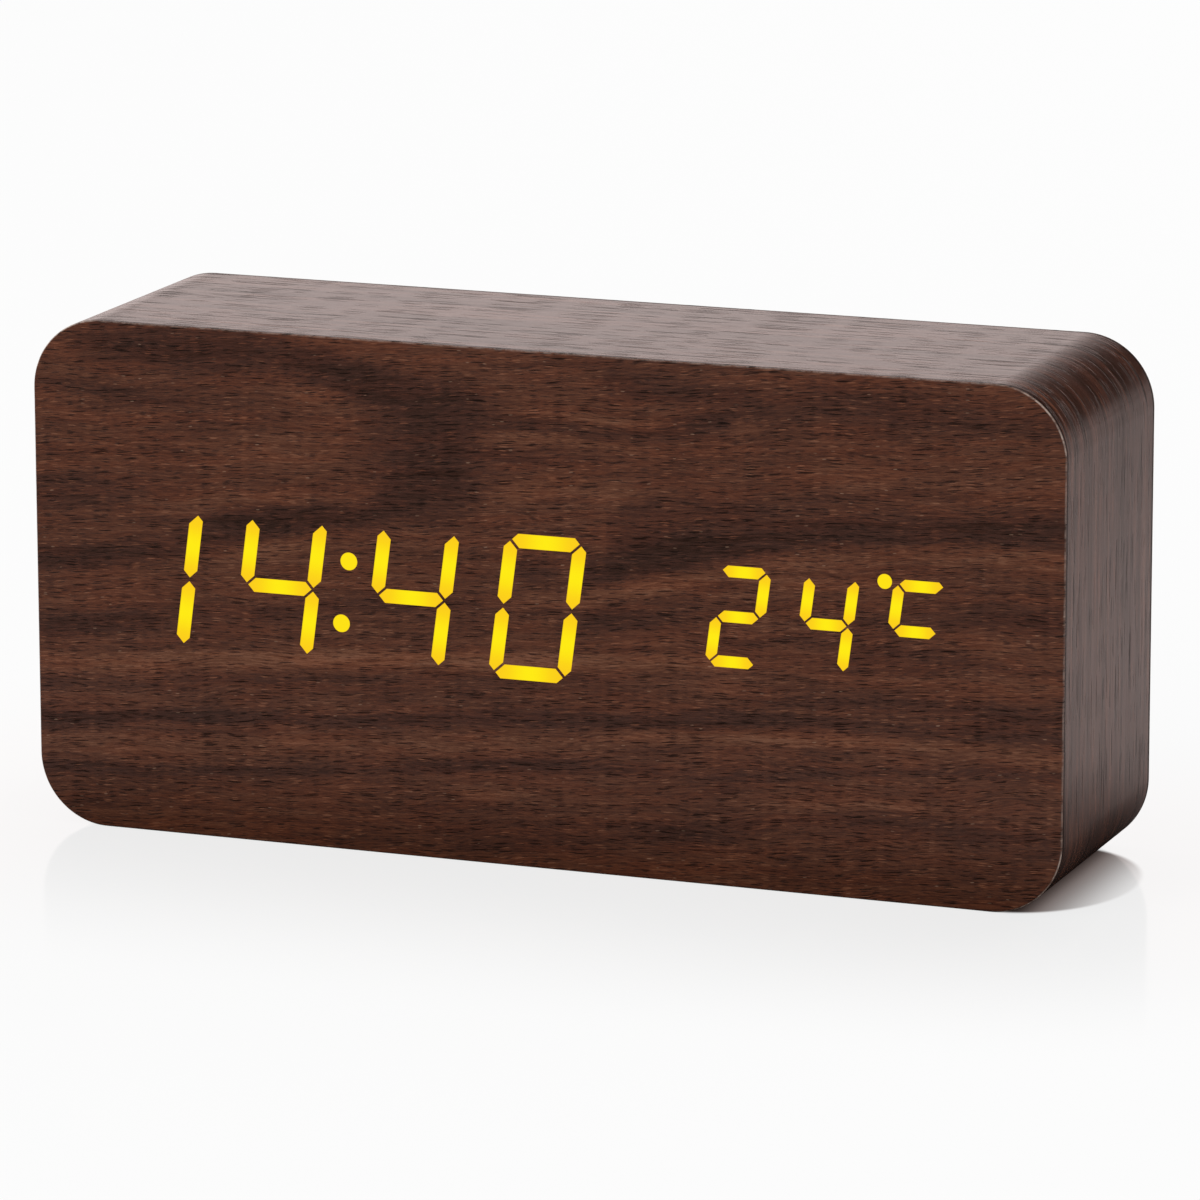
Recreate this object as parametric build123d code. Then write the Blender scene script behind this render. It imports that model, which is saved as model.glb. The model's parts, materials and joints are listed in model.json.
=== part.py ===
from build123d import *

import math
import os

# A desk clock made as a block of walnut-veneered fibre board, with lit digits behind the front sheet.
# Lengths are in millimetres. X runs along the front, Y runs from the front to the back, Z is up, and
# the origin is the middle of the underside. Names that end in share are plain ratios.

# The block as it stands
body_width = 150.0
body_depth = 40.0
body_height = 72.0
corner_radius = 10.0

# Walnut veneer: one sheet on the front, a band round the sides, a ring on the back
veneer = 0.6
sheet_edge_bevel = 0.3
band_seam = 0.15

# Routed case: walls round the rear cover, the ledge under the cover and the wall behind the front
case_wall = 5.4
cover_ledge = 2.5
front_wall = 6.0
rebate_corner_radius = 5.0
pocket_corner_radius = 4.0
corner_block = 8.0
cut_over = 1.0

# Time digits, measured between their outer edges before they slant
slant_share = 0.135
time_height = 20.4
time_width = 12.0
time_stroke = 2.0
time_gap = 0.38
time_first_x = -56.7
time_pitch = 18.6
time_middle_pitch = 19.55
time_lift = 0.5
colon_radius = 1.25
colon_spacing = 8.8

# Temperature digits, the degree dot and the small C after it
temp_height = 14.1
temp_width = 7.8
temp_stroke = 1.6
temp_gap = 0.3
temp_first_x = 29.06
temp_pitch = 12.55
temp_lift = 1.6
degree_radius = 1.03
degree_left = 4.3
degree_drop = 0.45
bar_tip_share = 0.4

# Bars that are lit: a is the top bar, b to f go round clockwise, g is the middle bar
TIME_LIT = ["bc", "bcfg", "bcfg", "abcdef"]
TEMP_LIT = ["abged", "bcfg", "afg"]
lit_inlay = 0.1

# Display stack behind the front veneer
diffuser_thickness = 0.6
window_rim_x = 1.6
window_rim_z = 2.4
window_corner_radius = 1.5
stack_gap = 0.15
reflector_depth = 8.0
flange_thickness = 2.0
flange_reach = 5.2
well_draw_in = 0.35
display_board_thickness = 1.2
display_board_inset = 0.3
led_length = 1.6
led_width = 0.8
led_height = 0.6
led_lens_share = 0.7
stake_radius = 0.6
stake_fit = 0.05
stake_inset = 1.55
stake_head_radius = 1.1
stake_head_height = 0.6

# Screws: the pilot holes are a hair wider than the shanks
pilot_fit = 0.02
hole_fit = 0.2
small_head_radius = 1.9
small_head_height = 1.3
small_shank_radius = 1.0
display_screw_length = 6.0
board_screw_length = 5.0
cover_head_radius = 2.4
cover_head_height = 1.5
cover_shank_radius = 1.3
cover_screw_length = 9.0
cover_screw_inset = 3.9
counterbore_depth = 1.6
recess_width_share = 0.2
recess_length_share = 1.1
recess_depth_share = 0.55

# Rear cover, set back from the rim so that nothing on it meets a wall behind the clock
cover_recess = 1.6
cover_thickness = 2.4
cover_gap = 0.15
lip_thickness = 1.2
lip_height = 2.0
lip_gap = 0.3
lip_length_share = 0.6

# Three small round cells lie along X, one above another, in a bay with a door
cell_diameter = 10.5
cell_length = 44.5
cell_nub_radius = 1.9
cell_nub_height = 1.0
cell_count = 3
cell_gap = 0.4
cell_clear = 0.35
bay_side_gap = 0.55
bay_wall = 1.5
bay_lift = 1.3
bay_corner_radius = 1.0
cradle_thickness = 1.2
cradle_place_share = 0.5

# Battery contacts: plates, bowed springs and the leads
contact_thickness = 0.4
contact_width = 9.0
contact_bump_radius = 2.3
contact_bump_height = 0.6
contact_bump_share = 0.5
tail_width = 2.0
tail_reach = 1.6
tail_fit = 0.1
rail_reach = 1.0
rail_gap = 0.1
spring_length = 5.1
spring_width = 5.0
spring_thickness = 0.4
spring_reach = 3.8
spring_foot = 1.2
spring_tip = 0.9
spring_free_gap = 0.6
wire_sides = 6
lead_radius = 0.4
lead_out = 5.5
lead_shift = 4.0
lead_bend_share = 0.45
lead_back = 0.45

# Battery door
door_edge = 1.2
door_gap = 0.2
door_thickness = 1.75
door_seat_gap = 0.05
door_corner_radius = 1.5
pivot_radius = 0.55
pivot_length = 1.0
pivot_fit = 0.05
latch_width = 12.0
latch_length = 7.0
latch_slot = 0.7
latch_nose = 0.15
latch_nose_height = 0.8
grip_ridge_width = 8.0
grip_ridge_height = 0.35
grip_ridge_radius = 0.35
grip_ridge_pitch = 1.4
grip_ridge_count = 4
door_rib_height = 1.1
door_rib_thickness = 1.0
door_rib_inset = 3.0
scoop_radius = 9.0
scoop_depth = 1.3

# Control board, held on bosses of the rear cover
control_board_thickness = 1.6
board_standoff = 5.4
board_side_gap = 1.0
board_foot = 5.5
board_corner_radius = 2.0
bay_to_board = 1.0
boss_radius = 2.6
boss_upper_x = 32.0
boss_upper_inset = 4.15
boss_lower_inset = 4.5
boss_lower_lift = 6.0

# Push buttons and the switches under them
button_pitch = 16.0
button_radius = 3.2
button_fit = 0.15
button_proud = 1.1
button_edge = 0.4
button_flange_radius = 4.2
button_flange_thickness = 0.8
button_flange_gap = 0.1
hole_chamfer = 0.4
switch_size = 6.0
switch_body_height = 3.5
switch_frame_thickness = 0.2
switch_frame_inset = 0.3
plunger_radius = 1.7
plunger_fit = 0.05
plunger_sunk = 1.2
plunger_room = 0.6

# Power inlet with its flat tongue, and the shallow seat for the plug's grip
usb_width = 7.5
usb_height = 2.9
usb_wall = 0.25
usb_shoulder_share = 0.4
usb_foot_share = 0.7
usb_fit = 0.25
usb_foot_lift = 8.0
usb_mouth_inset = 0.2
usb_base_depth = 1.6
tongue_width = 4.6
tongue_thickness = 0.65
tongue_inset = 0.9
plug_seat_width = 12.5
plug_seat_height = 8.0
plug_seat_depth = 1.0
plug_seat_radius = 1.5

# Buzzer, microphone and thermistor behind their holes in the cover
buzzer_radius = 6.0
buzzer_height = 5.0
buzzer_mouth_radius = 1.2
buzzer_mouth_depth = 2.0
buzzer_edge = 0.4
buzzer_foot_lift = 10.0
sound_hole_radius = 0.8
sound_ring_radius = 3.2
sound_ring_count = 4
microphone_radius = 3.0
microphone_height = 2.7
microphone_rim = 0.5
microphone_port_radius = 1.6
tube_radius = 2.6
tube_gap = 0.3
sensor_drop = 1.2
thermistor_radius = 1.1
thermistor_stand = 3.2
thermistor_leg_radius = 0.22
thermistor_leg_spacing = 1.1
vent_length = 7.0
vent_width = 0.9
vent_pitch = 2.0
vent_count = 3

# Small parts on the two boards
chip_length = 10.4
chip_width = 7.5
chip_height = 2.2
chip_draft = 0.35
chip_stand = 0.1
chip_legs_per_side = 8
chip_leg_pitch = 1.27
chip_leg_width = 0.42
chip_leg_thickness = 0.2
chip_leg_reach = 1.2
chip_leg_knee = 0.4
driver_chip_x = -20.0
clock_chip_x = -22.0
resistor_length = 2.0
resistor_width = 1.25
resistor_height = 0.55
resistor_pitch = 2.6
resistor_count = 8
resistor_first_x = 22.0
resistor_edge = 0.15
crystal_radius = 1.05
crystal_length = 6.2
crystal_rim_length = 0.5
crystal_rim_share = 0.85
crystal_x = -42.0
capacitor_radius = 2.5
capacitor_height = 6.0
capacitor_edge = 0.4
capacitor_x = 42.0
ribbon_x = 12.0
ribbon_width = 16.0
ribbon_thickness = 0.4
ribbon_bend_radius = 2.0
ribbon_fit = 0.1
ribbon_sunk = 2.0
socket_height = 4.4
socket_width = 4.4
socket_end_wall = 1.5
socket_edge = 0.5
ribbon_from_top = 5.2

# Places worked out from the sizes above
front_y = -body_depth / 2
back_y = body_depth / 2
middle_z = body_height / 2
case_front_y = front_y + veneer
case_back_y = back_y - veneer
case_half_width = body_width / 2 - veneer
case_half_height = body_height / 2 - veneer
rebate_half_width = case_half_width - case_wall
rebate_half_height = case_half_height - case_wall
pocket_half_width = rebate_half_width - cover_ledge
pocket_half_height = rebate_half_height - cover_ledge
pocket_floor_y = case_front_y + front_wall
cover_out_y = back_y - cover_recess
cover_in_y = cover_out_y - cover_thickness

time_z = middle_z + time_lift
temp_z = middle_z + temp_lift
time_xs = [
    time_first_x,
    time_first_x + time_pitch,
    time_first_x + time_pitch + time_middle_pitch,
    time_first_x + time_pitch + time_middle_pitch + time_pitch,
]
temp_xs = [temp_first_x + n * temp_pitch for n in range(len(TEMP_LIT))]
colon_x = (time_xs[1] + time_xs[2]) / 2
degree_x = temp_xs[-1] - degree_left
degree_z = temp_z + temp_height / 2 - degree_drop

time_half_span = (time_width + slant_share * time_height) / 2
temp_half_span = (temp_width + slant_share * temp_height) / 2
window_left = time_xs[0] - time_half_span - window_rim_x
window_right = temp_xs[-1] + temp_half_span + window_rim_x
window_top = max(time_z + time_height / 2, temp_z + temp_height / 2) + window_rim_z
window_bottom = min(time_z - time_height / 2, temp_z - temp_height / 2) - window_rim_z
window_x = (window_left + window_right) / 2
window_z = (window_top + window_bottom) / 2
window_width = window_right - window_left
window_height = window_top - window_bottom
reflector_front_y = case_front_y + diffuser_thickness
reflector_back_y = reflector_front_y + reflector_depth
display_board_back_y = reflector_back_y + display_board_thickness
flange_back_y = pocket_floor_y + flange_thickness
room_above = middle_z + pocket_half_height - window_top - flange_reach
room_below = window_bottom - flange_reach - middle_z + pocket_half_height
corner_reach = min(corner_block, room_above - stack_gap, room_below - stack_gap)

door_in_y = cover_out_y - door_thickness
door_ledge_y = door_in_y - door_seat_gap
cell_y = door_in_y - cell_clear - cell_diameter / 2
bay_floor_y = cell_y - cell_diameter / 2 - cell_clear
bay_back_y = bay_floor_y - bay_wall
cell_pitch = cell_diameter + cell_gap
bay_half_height = (cell_diameter + (cell_count - 1) * cell_pitch) / 2 + bay_side_gap
bay_half_length = (cell_length + contact_bump_height + spring_length) / 2 + contact_thickness
bay_z = middle_z - pocket_half_height + bay_lift + bay_wall + bay_half_height
bay_top_z = bay_z + bay_half_height + bay_wall
cell_zs = [bay_z + (n - (cell_count - 1) / 2) * cell_pitch for n in range(cell_count)]
contact_x = bay_half_length - contact_thickness
door_half_width = bay_half_length + door_edge
door_half_height = bay_half_height + door_edge
pivot_y = cover_out_y - door_thickness / 2
pivot_z = bay_z - door_half_height + door_thickness / 2
door_top_z = bay_z + door_half_height

board_back_y = cover_in_y - board_standoff
board_front_y = board_back_y - control_board_thickness
board_half_width = pocket_half_width - corner_block - board_side_gap
board_top_z = middle_z + pocket_half_height - board_side_gap
board_bottom_z = middle_z - pocket_half_height + board_foot
board_cut_half_width = bay_half_length + bay_wall + bay_to_board
board_cut_z = bay_top_z + bay_to_board
leg_x = (board_half_width + board_cut_half_width) / 2
button_z = (bay_top_z + middle_z + pocket_half_height) / 2
button_xs = [-button_pitch, 0, button_pitch]
flange_out_y = cover_in_y - button_flange_gap
flange_in_y = flange_out_y - button_flange_thickness
switch_top_y = board_back_y + switch_body_height
sensor_z = bay_top_z - sensor_drop
buzzer_z = board_bottom_z + buzzer_foot_lift
usb_z = board_bottom_z + usb_foot_lift
usb_mouth_y = cover_out_y - plug_seat_depth - usb_mouth_inset
boss_places = [
    (-boss_upper_x, board_top_z - boss_upper_inset),
    (boss_upper_x, board_top_z - boss_upper_inset),
    (boss_lower_inset - board_half_width, bay_z + boss_lower_lift),
    (board_half_width - boss_lower_inset, bay_z + boss_lower_lift),
]
cover_screw_x = pocket_half_width - cover_screw_inset
cover_screw_z = pocket_half_height - cover_screw_inset
cover_screw_places = [
    (side * cover_screw_x, middle_z + level * cover_screw_z)
    for side in (-1, 1)
    for level in (-1, 1)
]


# Shapes that many pieces are made of

def plane_at(y):
    """The upright plane at y, in which an outline's own X and Y are the block's X and Z."""
    return Plane(origin=(0, y, 0), x_dir=(1, 0, 0), z_dir=(0, -1, 0))


def slab(outline, y_near, y_far):
    """An upright outline given its thickness, from y_near back to y_far."""
    return extrude(plane_at(y_far) * outline, amount=y_far - y_near, dir=(0, -1, 0))


def tile(half_width, half_height, radius, x=0, z=0):
    return Pos(x, z) * RectangleRounded(2 * half_width, 2 * half_height, radius)


def block(x_low, x_high, y_low, y_high, z_low, z_high):
    middle = ((x_low + x_high) / 2, (y_low + y_high) / 2, (z_low + z_high) / 2)
    return Pos(*middle) * Box(x_high - x_low, y_high - y_low, z_high - z_low)


def post(radius, x, z, y_near, y_far):
    return slab(Pos(x, z) * Circle(radius), y_near, y_far)


def turned(points, x, z):
    """A piece turned about a line along Y at x, z. Each point is a radius and a y."""
    return Pos(x, 0, z) * revolve(Polygon(*points, align=None), Axis.Y)


def along_x(points, x_low, x_high):
    """An outline of points in y and z, drawn out along X."""
    side = Plane(origin=(x_low, 0, 0), x_dir=(0, 1, 0), z_dir=(1, 0, 0))
    return extrude(side * Polygon(*points, align=None), amount=x_high - x_low, dir=(1, 0, 0))


def rod_along_x(radius, y, z, x_low, x_high):
    side = Plane(origin=(x_low, y, z), x_dir=(0, 1, 0), z_dir=(1, 0, 0))
    return extrude(side * Circle(radius), amount=x_high - x_low)


def group(solids):
    return Compound(children=list(solids))


def screw(x, z, seat_y, head_side, head_radius, head_height, shank_radius, length):
    """A flat-headed screw. Its head stands on seat_y, towards +Y where head_side is 1."""
    tip_y = seat_y - head_side * length
    crown_y = seat_y + head_side * head_height
    return turned(
        [
            (0, tip_y),
            (shank_radius, tip_y),
            (shank_radius, seat_y),
            (head_radius, seat_y),
            (head_radius, crown_y),
            (0, crown_y),
        ],
        x,
        z,
    )


# The seven bars of a digit

def bar_outlines(width, height, stroke, gap):
    """The outlines of bars a to g in a box that starts at 0, 0, before the digit slants."""
    tip = stroke * bar_tip_share
    cut = gap / math.sqrt(2)
    middle = height / 2
    half = stroke / 2
    right_top = [
        (width - stroke, height - stroke - cut),
        (width - stroke, middle + half + cut),
        (width - half, middle + cut),
        (width, middle + half + cut),
        (width, height - 2 * tip - cut),
        (width - tip, height - tip - cut),
    ]
    top = [
        (stroke + cut, height - stroke),
        (width - stroke - cut, height - stroke),
        (width - tip - cut, height - tip),
        (width - 2 * tip - cut, height),
        (2 * tip + cut, height),
        (tip + cut, height - tip),
    ]
    centre = [
        (half + cut, middle),
        (stroke + cut, middle - half),
        (width - stroke - cut, middle - half),
        (width - half - cut, middle),
        (width - stroke - cut, middle + half),
        (stroke + cut, middle + half),
    ]

    def upside_down(points):
        return [(x, height - z) for x, z in reversed(points)]

    def swapped(points):
        return [(width - x, z) for x, z in reversed(points)]

    return {
        "a": top,
        "b": right_top,
        "c": upside_down(right_top),
        "d": upside_down(top),
        "e": upside_down(swapped(right_top)),
        "f": swapped(right_top),
        "g": centre,
    }


def digit_bars(x, z, width, height, stroke, gap):
    """Bars a to g of the slanted digit whose middle is at x, z."""
    bars = {}
    for letter, points in bar_outlines(width, height, stroke, gap).items():
        bars[letter] = [
            (x + px - width / 2 + slant_share * (pz - height / 2), z + pz - height / 2)
            for px, pz in points
        ]
    return bars


def time_bars(n):
    return digit_bars(time_xs[n], time_z, time_width, time_height, time_stroke, time_gap)


def temp_bars(n):
    return digit_bars(temp_xs[n], temp_z, temp_width, temp_height, temp_stroke, temp_gap)


def colon_dots():
    """The two dots as x, z and radius, slanted like the digits."""
    rise = colon_spacing / 2
    return [
        (colon_x + level * slant_share * rise, time_z + level * rise, colon_radius)
        for level in (-1, 1)
    ]


def all_bars():
    """Each bar that the display has, lit or dark, as its letter and its outline."""
    cells = [time_bars(n) for n in range(len(TIME_LIT))]
    cells += [temp_bars(n) for n in range(len(TEMP_LIT))]
    return [pair for cell in cells for pair in cell.items()]


def all_dots():
    return colon_dots() + [(degree_x, degree_z, degree_radius)]


def lit_bars(cell, letters):
    return [cell[letter] for letter in letters]


def middle_of(points):
    count = len(points)
    return sum(x for x, _ in points) / count, sum(z for _, z in points) / count


def glow(points):
    """The stretch of veneer that shines where a bar is lit."""
    return slab(Polygon(*points, align=None), front_y, front_y + lit_inlay)


def glowing_dot(dot):
    x, z, radius = dot
    return post(radius, x, z, front_y, front_y + lit_inlay)


def lit_time_segments():
    return [glow(p) for n, lit in enumerate(TIME_LIT) for p in lit_bars(time_bars(n), lit)]


def lit_colon_dots():
    return [glowing_dot(dot) for dot in colon_dots()]


def lit_temperature_segments():
    digits = TEMP_LIT[:-1]
    return [glow(p) for n, lit in enumerate(digits) for p in lit_bars(temp_bars(n), lit)]


def lit_unit_sign():
    """The degree dot and the small C, which is the upper half of the last cell."""
    last = len(TEMP_LIT) - 1
    bars = [glow(p) for p in lit_bars(temp_bars(last), TEMP_LIT[last])]
    return bars + [glowing_dot((degree_x, degree_z, degree_radius))]


# Veneers and the case under them

def body_outline(inset=0):
    return tile(
        body_width / 2 - inset, body_height / 2 - inset, corner_radius - inset, z=middle_z
    )


def rebate_outline(gap=0):
    return tile(
        rebate_half_width - gap, rebate_half_height - gap, rebate_corner_radius - gap, z=middle_z
    )


def front_veneer():
    """The unbroken front sheet, with shallow seats for the glowing stretches."""
    sheet = slab(body_outline(), front_y, case_front_y)
    sheet = chamfer(sheet.faces().sort_by(Axis.Y)[0].edges(), sheet_edge_bevel)
    lit = lit_time_segments() + lit_colon_dots() + lit_temperature_segments() + lit_unit_sign()
    return sheet - lit


def side_veneer_band():
    """One strip wrapped round the four sides, its ends butted on the underside."""
    ring = slab(body_outline() - body_outline(veneer), case_front_y, case_back_y)
    half_seam = band_seam / 2
    seam = block(-half_seam, half_seam, front_y, back_y, -cut_over, veneer + cut_over)
    return ring - seam


def rear_veneer():
    ring = slab(body_outline() - rebate_outline(), case_back_y, back_y)
    outer_edges = ring.faces().sort_by(Axis.Y)[-1].outer_wire().edges()
    return chamfer(outer_edges, sheet_edge_bevel)


def pocket_outline():
    """The routed pocket, whose corners are left standing to take the cover's screws."""
    pocket = tile(pocket_half_width, pocket_half_height, pocket_corner_radius, z=middle_z)
    for side in (-1, 1):
        for level in (-1, 1):
            pocket -= tile(
                corner_reach,
                corner_reach,
                pocket_corner_radius,
                side * pocket_half_width,
                middle_z + level * pocket_half_height,
            )
    return pocket


def window_outline(gap=0):
    return tile(
        window_width / 2 - gap, window_height / 2 - gap, window_corner_radius - gap, window_x, window_z
    )


def display_screw_places():
    """One screw in each of the reflector's two long flanges, at opposite ends."""
    reach = window_width / 2 - flange_reach
    rise = (window_height + flange_reach) / 2
    return [(window_x + side * reach, window_z + side * rise) for side in (-1, 1)]


def mdf_case():
    """The block: routed out from the back, with a window for the display in its front wall."""
    case = slab(body_outline(veneer), case_front_y, case_back_y)
    case -= slab(rebate_outline(), cover_in_y, back_y)
    case -= slab(pocket_outline(), pocket_floor_y, cover_in_y)
    case -= slab(window_outline(), front_y, pocket_floor_y + cut_over)
    pilot = small_shank_radius + pilot_fit
    depth = display_screw_length - flange_thickness + pilot_fit
    for x, z in display_screw_places():
        case -= post(pilot, x, z, pocket_floor_y - depth, pocket_floor_y + cut_over)
    pilot = cover_shank_radius + pilot_fit
    depth = cover_screw_length - cover_thickness + counterbore_depth + pilot_fit
    for x, z in cover_screw_places:
        case -= post(pilot, x, z, cover_in_y - depth, cover_in_y + cut_over)
    return case


# Display stack

def diffuser_sheet():
    """Milky sheet, printed dark outside the bars."""
    return slab(window_outline(stack_gap), case_front_y, reflector_front_y)


def light_well(points):
    """A well behind a bar. Each wall leans in by well_draw_in on its way to the board."""
    lean = math.degrees(math.atan2(well_draw_in, reflector_depth))
    start = plane_at(reflector_front_y) * Polygon(*points, align=None)
    return extrude(start, amount=-reflector_depth, taper=lean)


def stake_places():
    """Pegs near the corners of the display board."""
    end = window_width / 2 - stake_inset
    rise = window_height / 2 - stake_inset
    return [(window_x + side * end, window_z + level * rise) for side in (-1, 1) for level in (-1, 1)]


def reflector_block():
    """White block of light wells, with flanges for its screws and pegs that hold the board."""
    body = slab(window_outline(stack_gap), reflector_front_y, reflector_back_y)
    flange = tile(
        window_width / 2 - stack_gap,
        window_height / 2 + flange_reach,
        window_corner_radius,
        window_x,
        window_z,
    )
    body += slab(flange, pocket_floor_y, flange_back_y)
    body -= [light_well(points) for _, points in all_bars()]
    body -= [post(radius, x, z, reflector_front_y, reflector_back_y) for x, z, radius in all_dots()]
    hole = small_shank_radius + hole_fit
    body -= [
        post(hole, x, z, pocket_floor_y - cut_over, flange_back_y + cut_over)
        for x, z in display_screw_places()
    ]
    head_y = display_board_back_y + stake_head_height
    stake = [
        (0, reflector_back_y),
        (stake_radius, reflector_back_y),
        (stake_radius, display_board_back_y),
        (stake_head_radius, display_board_back_y),
        (stake_head_radius, head_y),
        (0, head_y),
    ]
    body += [turned(stake, x, z) for x, z in stake_places()]
    return body


def display_board():
    board = slab(
        window_outline(stack_gap + display_board_inset), reflector_back_y, display_board_back_y
    )
    board -= [
        post(stake_radius + stake_fit, x, z, reflector_back_y - cut_over, display_board_back_y + cut_over)
        for x, z in stake_places()
    ]
    return board


def lamp(x, z, upright):
    """A lamp on the board, laid along its bar and narrower at its lens than at its foot."""
    half = led_length / 2
    side_view = [
        (-half, 0),
        (half, 0),
        (half * led_lens_share, -led_height),
        (-half * led_lens_share, -led_height),
    ]
    body = extrude(Polygon(*side_view, align=None), amount=led_width / 2, both=True)
    turn = math.degrees(math.atan2(1, slant_share)) if upright else 0
    return Pos(x, reflector_back_y, z) * Rot(0, -turn, 0) * body


def segment_leds():
    lamps = [lamp(*middle_of(points), letter in "bcef") for letter, points in all_bars()]
    return lamps + [lamp(x, z, True) for x, z, _ in all_dots()]


def display_screws():
    return [
        screw(
            x, z, flange_back_y, 1,
            small_head_radius, small_head_height, small_shank_radius, display_screw_length,
        )
        for x, z in display_screw_places()
    ]


# Small parts on the boards

def gull_chip(x, z, board_y, side):
    """A chip on splayed legs, on the face of a board at board_y, standing out where side points."""
    def y(height):
        return board_y + side * height

    half = chip_width / 2
    low = chip_stand
    waist = chip_height / 2
    body = along_x(
        [
            (y(low), z - half + chip_draft),
            (y(waist), z - half),
            (y(chip_height), z - half + chip_draft),
            (y(chip_height), z + half - chip_draft),
            (y(waist), z + half),
            (y(low), z + half - chip_draft),
        ],
        x - chip_length / 2,
        x + chip_length / 2,
    )
    thick = chip_leg_thickness
    for n in range(chip_legs_per_side):
        leg_x_low = x + (n - (chip_legs_per_side - 1) / 2) * chip_leg_pitch - chip_leg_width / 2
        for level in (-1, 1):
            knee = half + chip_leg_knee
            foot = half + chip_leg_reach
            leg = [
                (y(waist), z + level * (half - chip_draft)),
                (y(waist), z + level * knee),
                (y(0), z + level * foot),
                (y(0), z + level * (foot - thick)),
                (y(waist - thick), z + level * (knee - thick)),
                (y(waist - thick), z + level * (half - chip_draft)),
            ]
            body += along_x(leg, leg_x_low, leg_x_low + chip_leg_width)
    return body


def driver_chip():
    return gull_chip(driver_chip_x, window_z, display_board_back_y, 1)


def clock_chip():
    return gull_chip(clock_chip_x, button_z, board_front_y, -1)


def segment_resistors():
    """A row of chip resistors, one for each bar of a digit and one for the dots."""
    half = resistor_length / 2
    low = display_board_back_y
    high = low + resistor_height
    profile = [
        (low, window_z - half),
        (low, window_z + half),
        (high - resistor_edge, window_z + half),
        (high, window_z + half - resistor_edge),
        (high, window_z - half + resistor_edge),
        (high - resistor_edge, window_z - half),
    ]
    starts = [resistor_first_x + n * resistor_pitch for n in range(resistor_count)]
    return [along_x(profile, start, start + resistor_width) for start in starts]


def ribbon_socket(board_y, side, z):
    """An open-topped socket on a board, with the slot that the ribbon goes down."""
    half = socket_width / 2
    top_y = board_y + side * socket_height
    edge_y = top_y - side * socket_edge
    reach = ribbon_width / 2 + socket_end_wall
    body = along_x(
        [
            (board_y, z - half),
            (board_y, z + half),
            (edge_y, z + half),
            (top_y, z + half - socket_edge),
            (top_y, z - half + socket_edge),
            (edge_y, z - half),
        ],
        ribbon_x - reach,
        ribbon_x + reach,
    )
    slot_half = ribbon_thickness / 2 + ribbon_fit
    near, far = sorted((top_y + side * cut_over, top_y - side * (ribbon_sunk + ribbon_fit)))
    slot_reach = ribbon_width / 2 + ribbon_fit
    return body - block(
        ribbon_x - slot_reach, ribbon_x + slot_reach, near, far, z - slot_half, z + slot_half
    )


display_socket_z = window_top - ribbon_from_top


def ribbon_sockets():
    return [
        ribbon_socket(display_board_back_y, 1, display_socket_z),
        ribbon_socket(board_front_y, -1, button_z),
    ]


def ribbon_cable():
    """Flat ribbon from the display board's socket up to the control board's."""
    start_y = display_board_back_y + socket_height - ribbon_sunk
    end_y = board_front_y - socket_height + ribbon_sunk
    turn_y = (start_y + end_y) / 2
    path = FilletPolyline(
        (ribbon_x, start_y, display_socket_z),
        (ribbon_x, turn_y, display_socket_z),
        (ribbon_x, turn_y, button_z),
        (ribbon_x, end_y, button_z),
        radius=ribbon_bend_radius,
    )
    start = Plane(origin=(ribbon_x, start_y, display_socket_z), x_dir=(1, 0, 0), z_dir=(0, 1, 0))
    return sweep(start * Rectangle(ribbon_width, ribbon_thickness), path)


def control_board():
    """An upside-down U that goes round the battery bay."""
    half_height = (board_top_z - board_bottom_z) / 2
    board = tile(
        board_half_width, half_height, board_corner_radius, z=board_bottom_z + half_height
    )
    cut_half_height = board_cut_z - board_bottom_z
    board -= tile(board_cut_half_width, cut_half_height, board_corner_radius, z=board_bottom_z)
    solid = slab(board, board_front_y, board_back_y)
    hole = small_shank_radius + hole_fit
    solid -= [post(hole, x, z, board_front_y - cut_over, board_back_y + cut_over) for x, z in boss_places]
    return solid


def board_screws():
    return [
        screw(
            x, z, board_front_y, -1,
            small_head_radius, small_head_height, small_shank_radius, board_screw_length,
        )
        for x, z in boss_places
    ]


def clock_crystal():
    """A watch crystal's can, lying on the board, with its narrower closed end."""
    y = board_front_y - crystal_radius
    start = crystal_x - crystal_length / 2
    can = rod_along_x(crystal_radius, y, button_z, start, start + crystal_length)
    rim = rod_along_x(
        crystal_radius * crystal_rim_share, y, button_z, start - crystal_rim_length, start
    )
    return can + rim


def supply_capacitor():
    """A capacitor's can, standing on the board."""
    base = board_front_y
    top = base - capacitor_height
    return turned(
        [
            (0, base),
            (capacitor_radius, base),
            (capacitor_radius, top + capacitor_edge),
            (capacitor_radius - capacitor_edge, top),
            (0, top),
        ],
        capacitor_x,
        button_z,
    )


def switch_housing(x):
    half = switch_size / 2
    body = block(x - half, x + half, board_back_y, switch_top_y, button_z - half, button_z + half)
    floor_y = switch_top_y - plunger_sunk - plunger_room
    return body - post(plunger_radius + plunger_fit, x, button_z, floor_y, switch_top_y + cut_over)


def switch_frame(x):
    half = switch_size / 2 - switch_frame_inset
    top_y = switch_top_y + switch_frame_thickness
    plate = block(x - half, x + half, switch_top_y, top_y, button_z - half, button_z + half)
    hole = plunger_radius + hole_fit
    return plate - post(hole, x, button_z, switch_top_y - cut_over, top_y + cut_over)


def switch_plunger(x):
    return post(plunger_radius, x, button_z, switch_top_y - plunger_sunk, flange_in_y)


def push_button(x):
    """A round button with a flange that the cover keeps in."""
    top_y = cover_out_y + button_proud
    return turned(
        [
            (0, flange_in_y),
            (button_flange_radius, flange_in_y),
            (button_flange_radius, flange_out_y),
            (button_radius, flange_out_y),
            (button_radius, top_y - button_edge),
            (button_radius - button_edge, top_y),
            (0, top_y),
        ],
        x,
        button_z,
    )


# Power inlet and sensors

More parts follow.
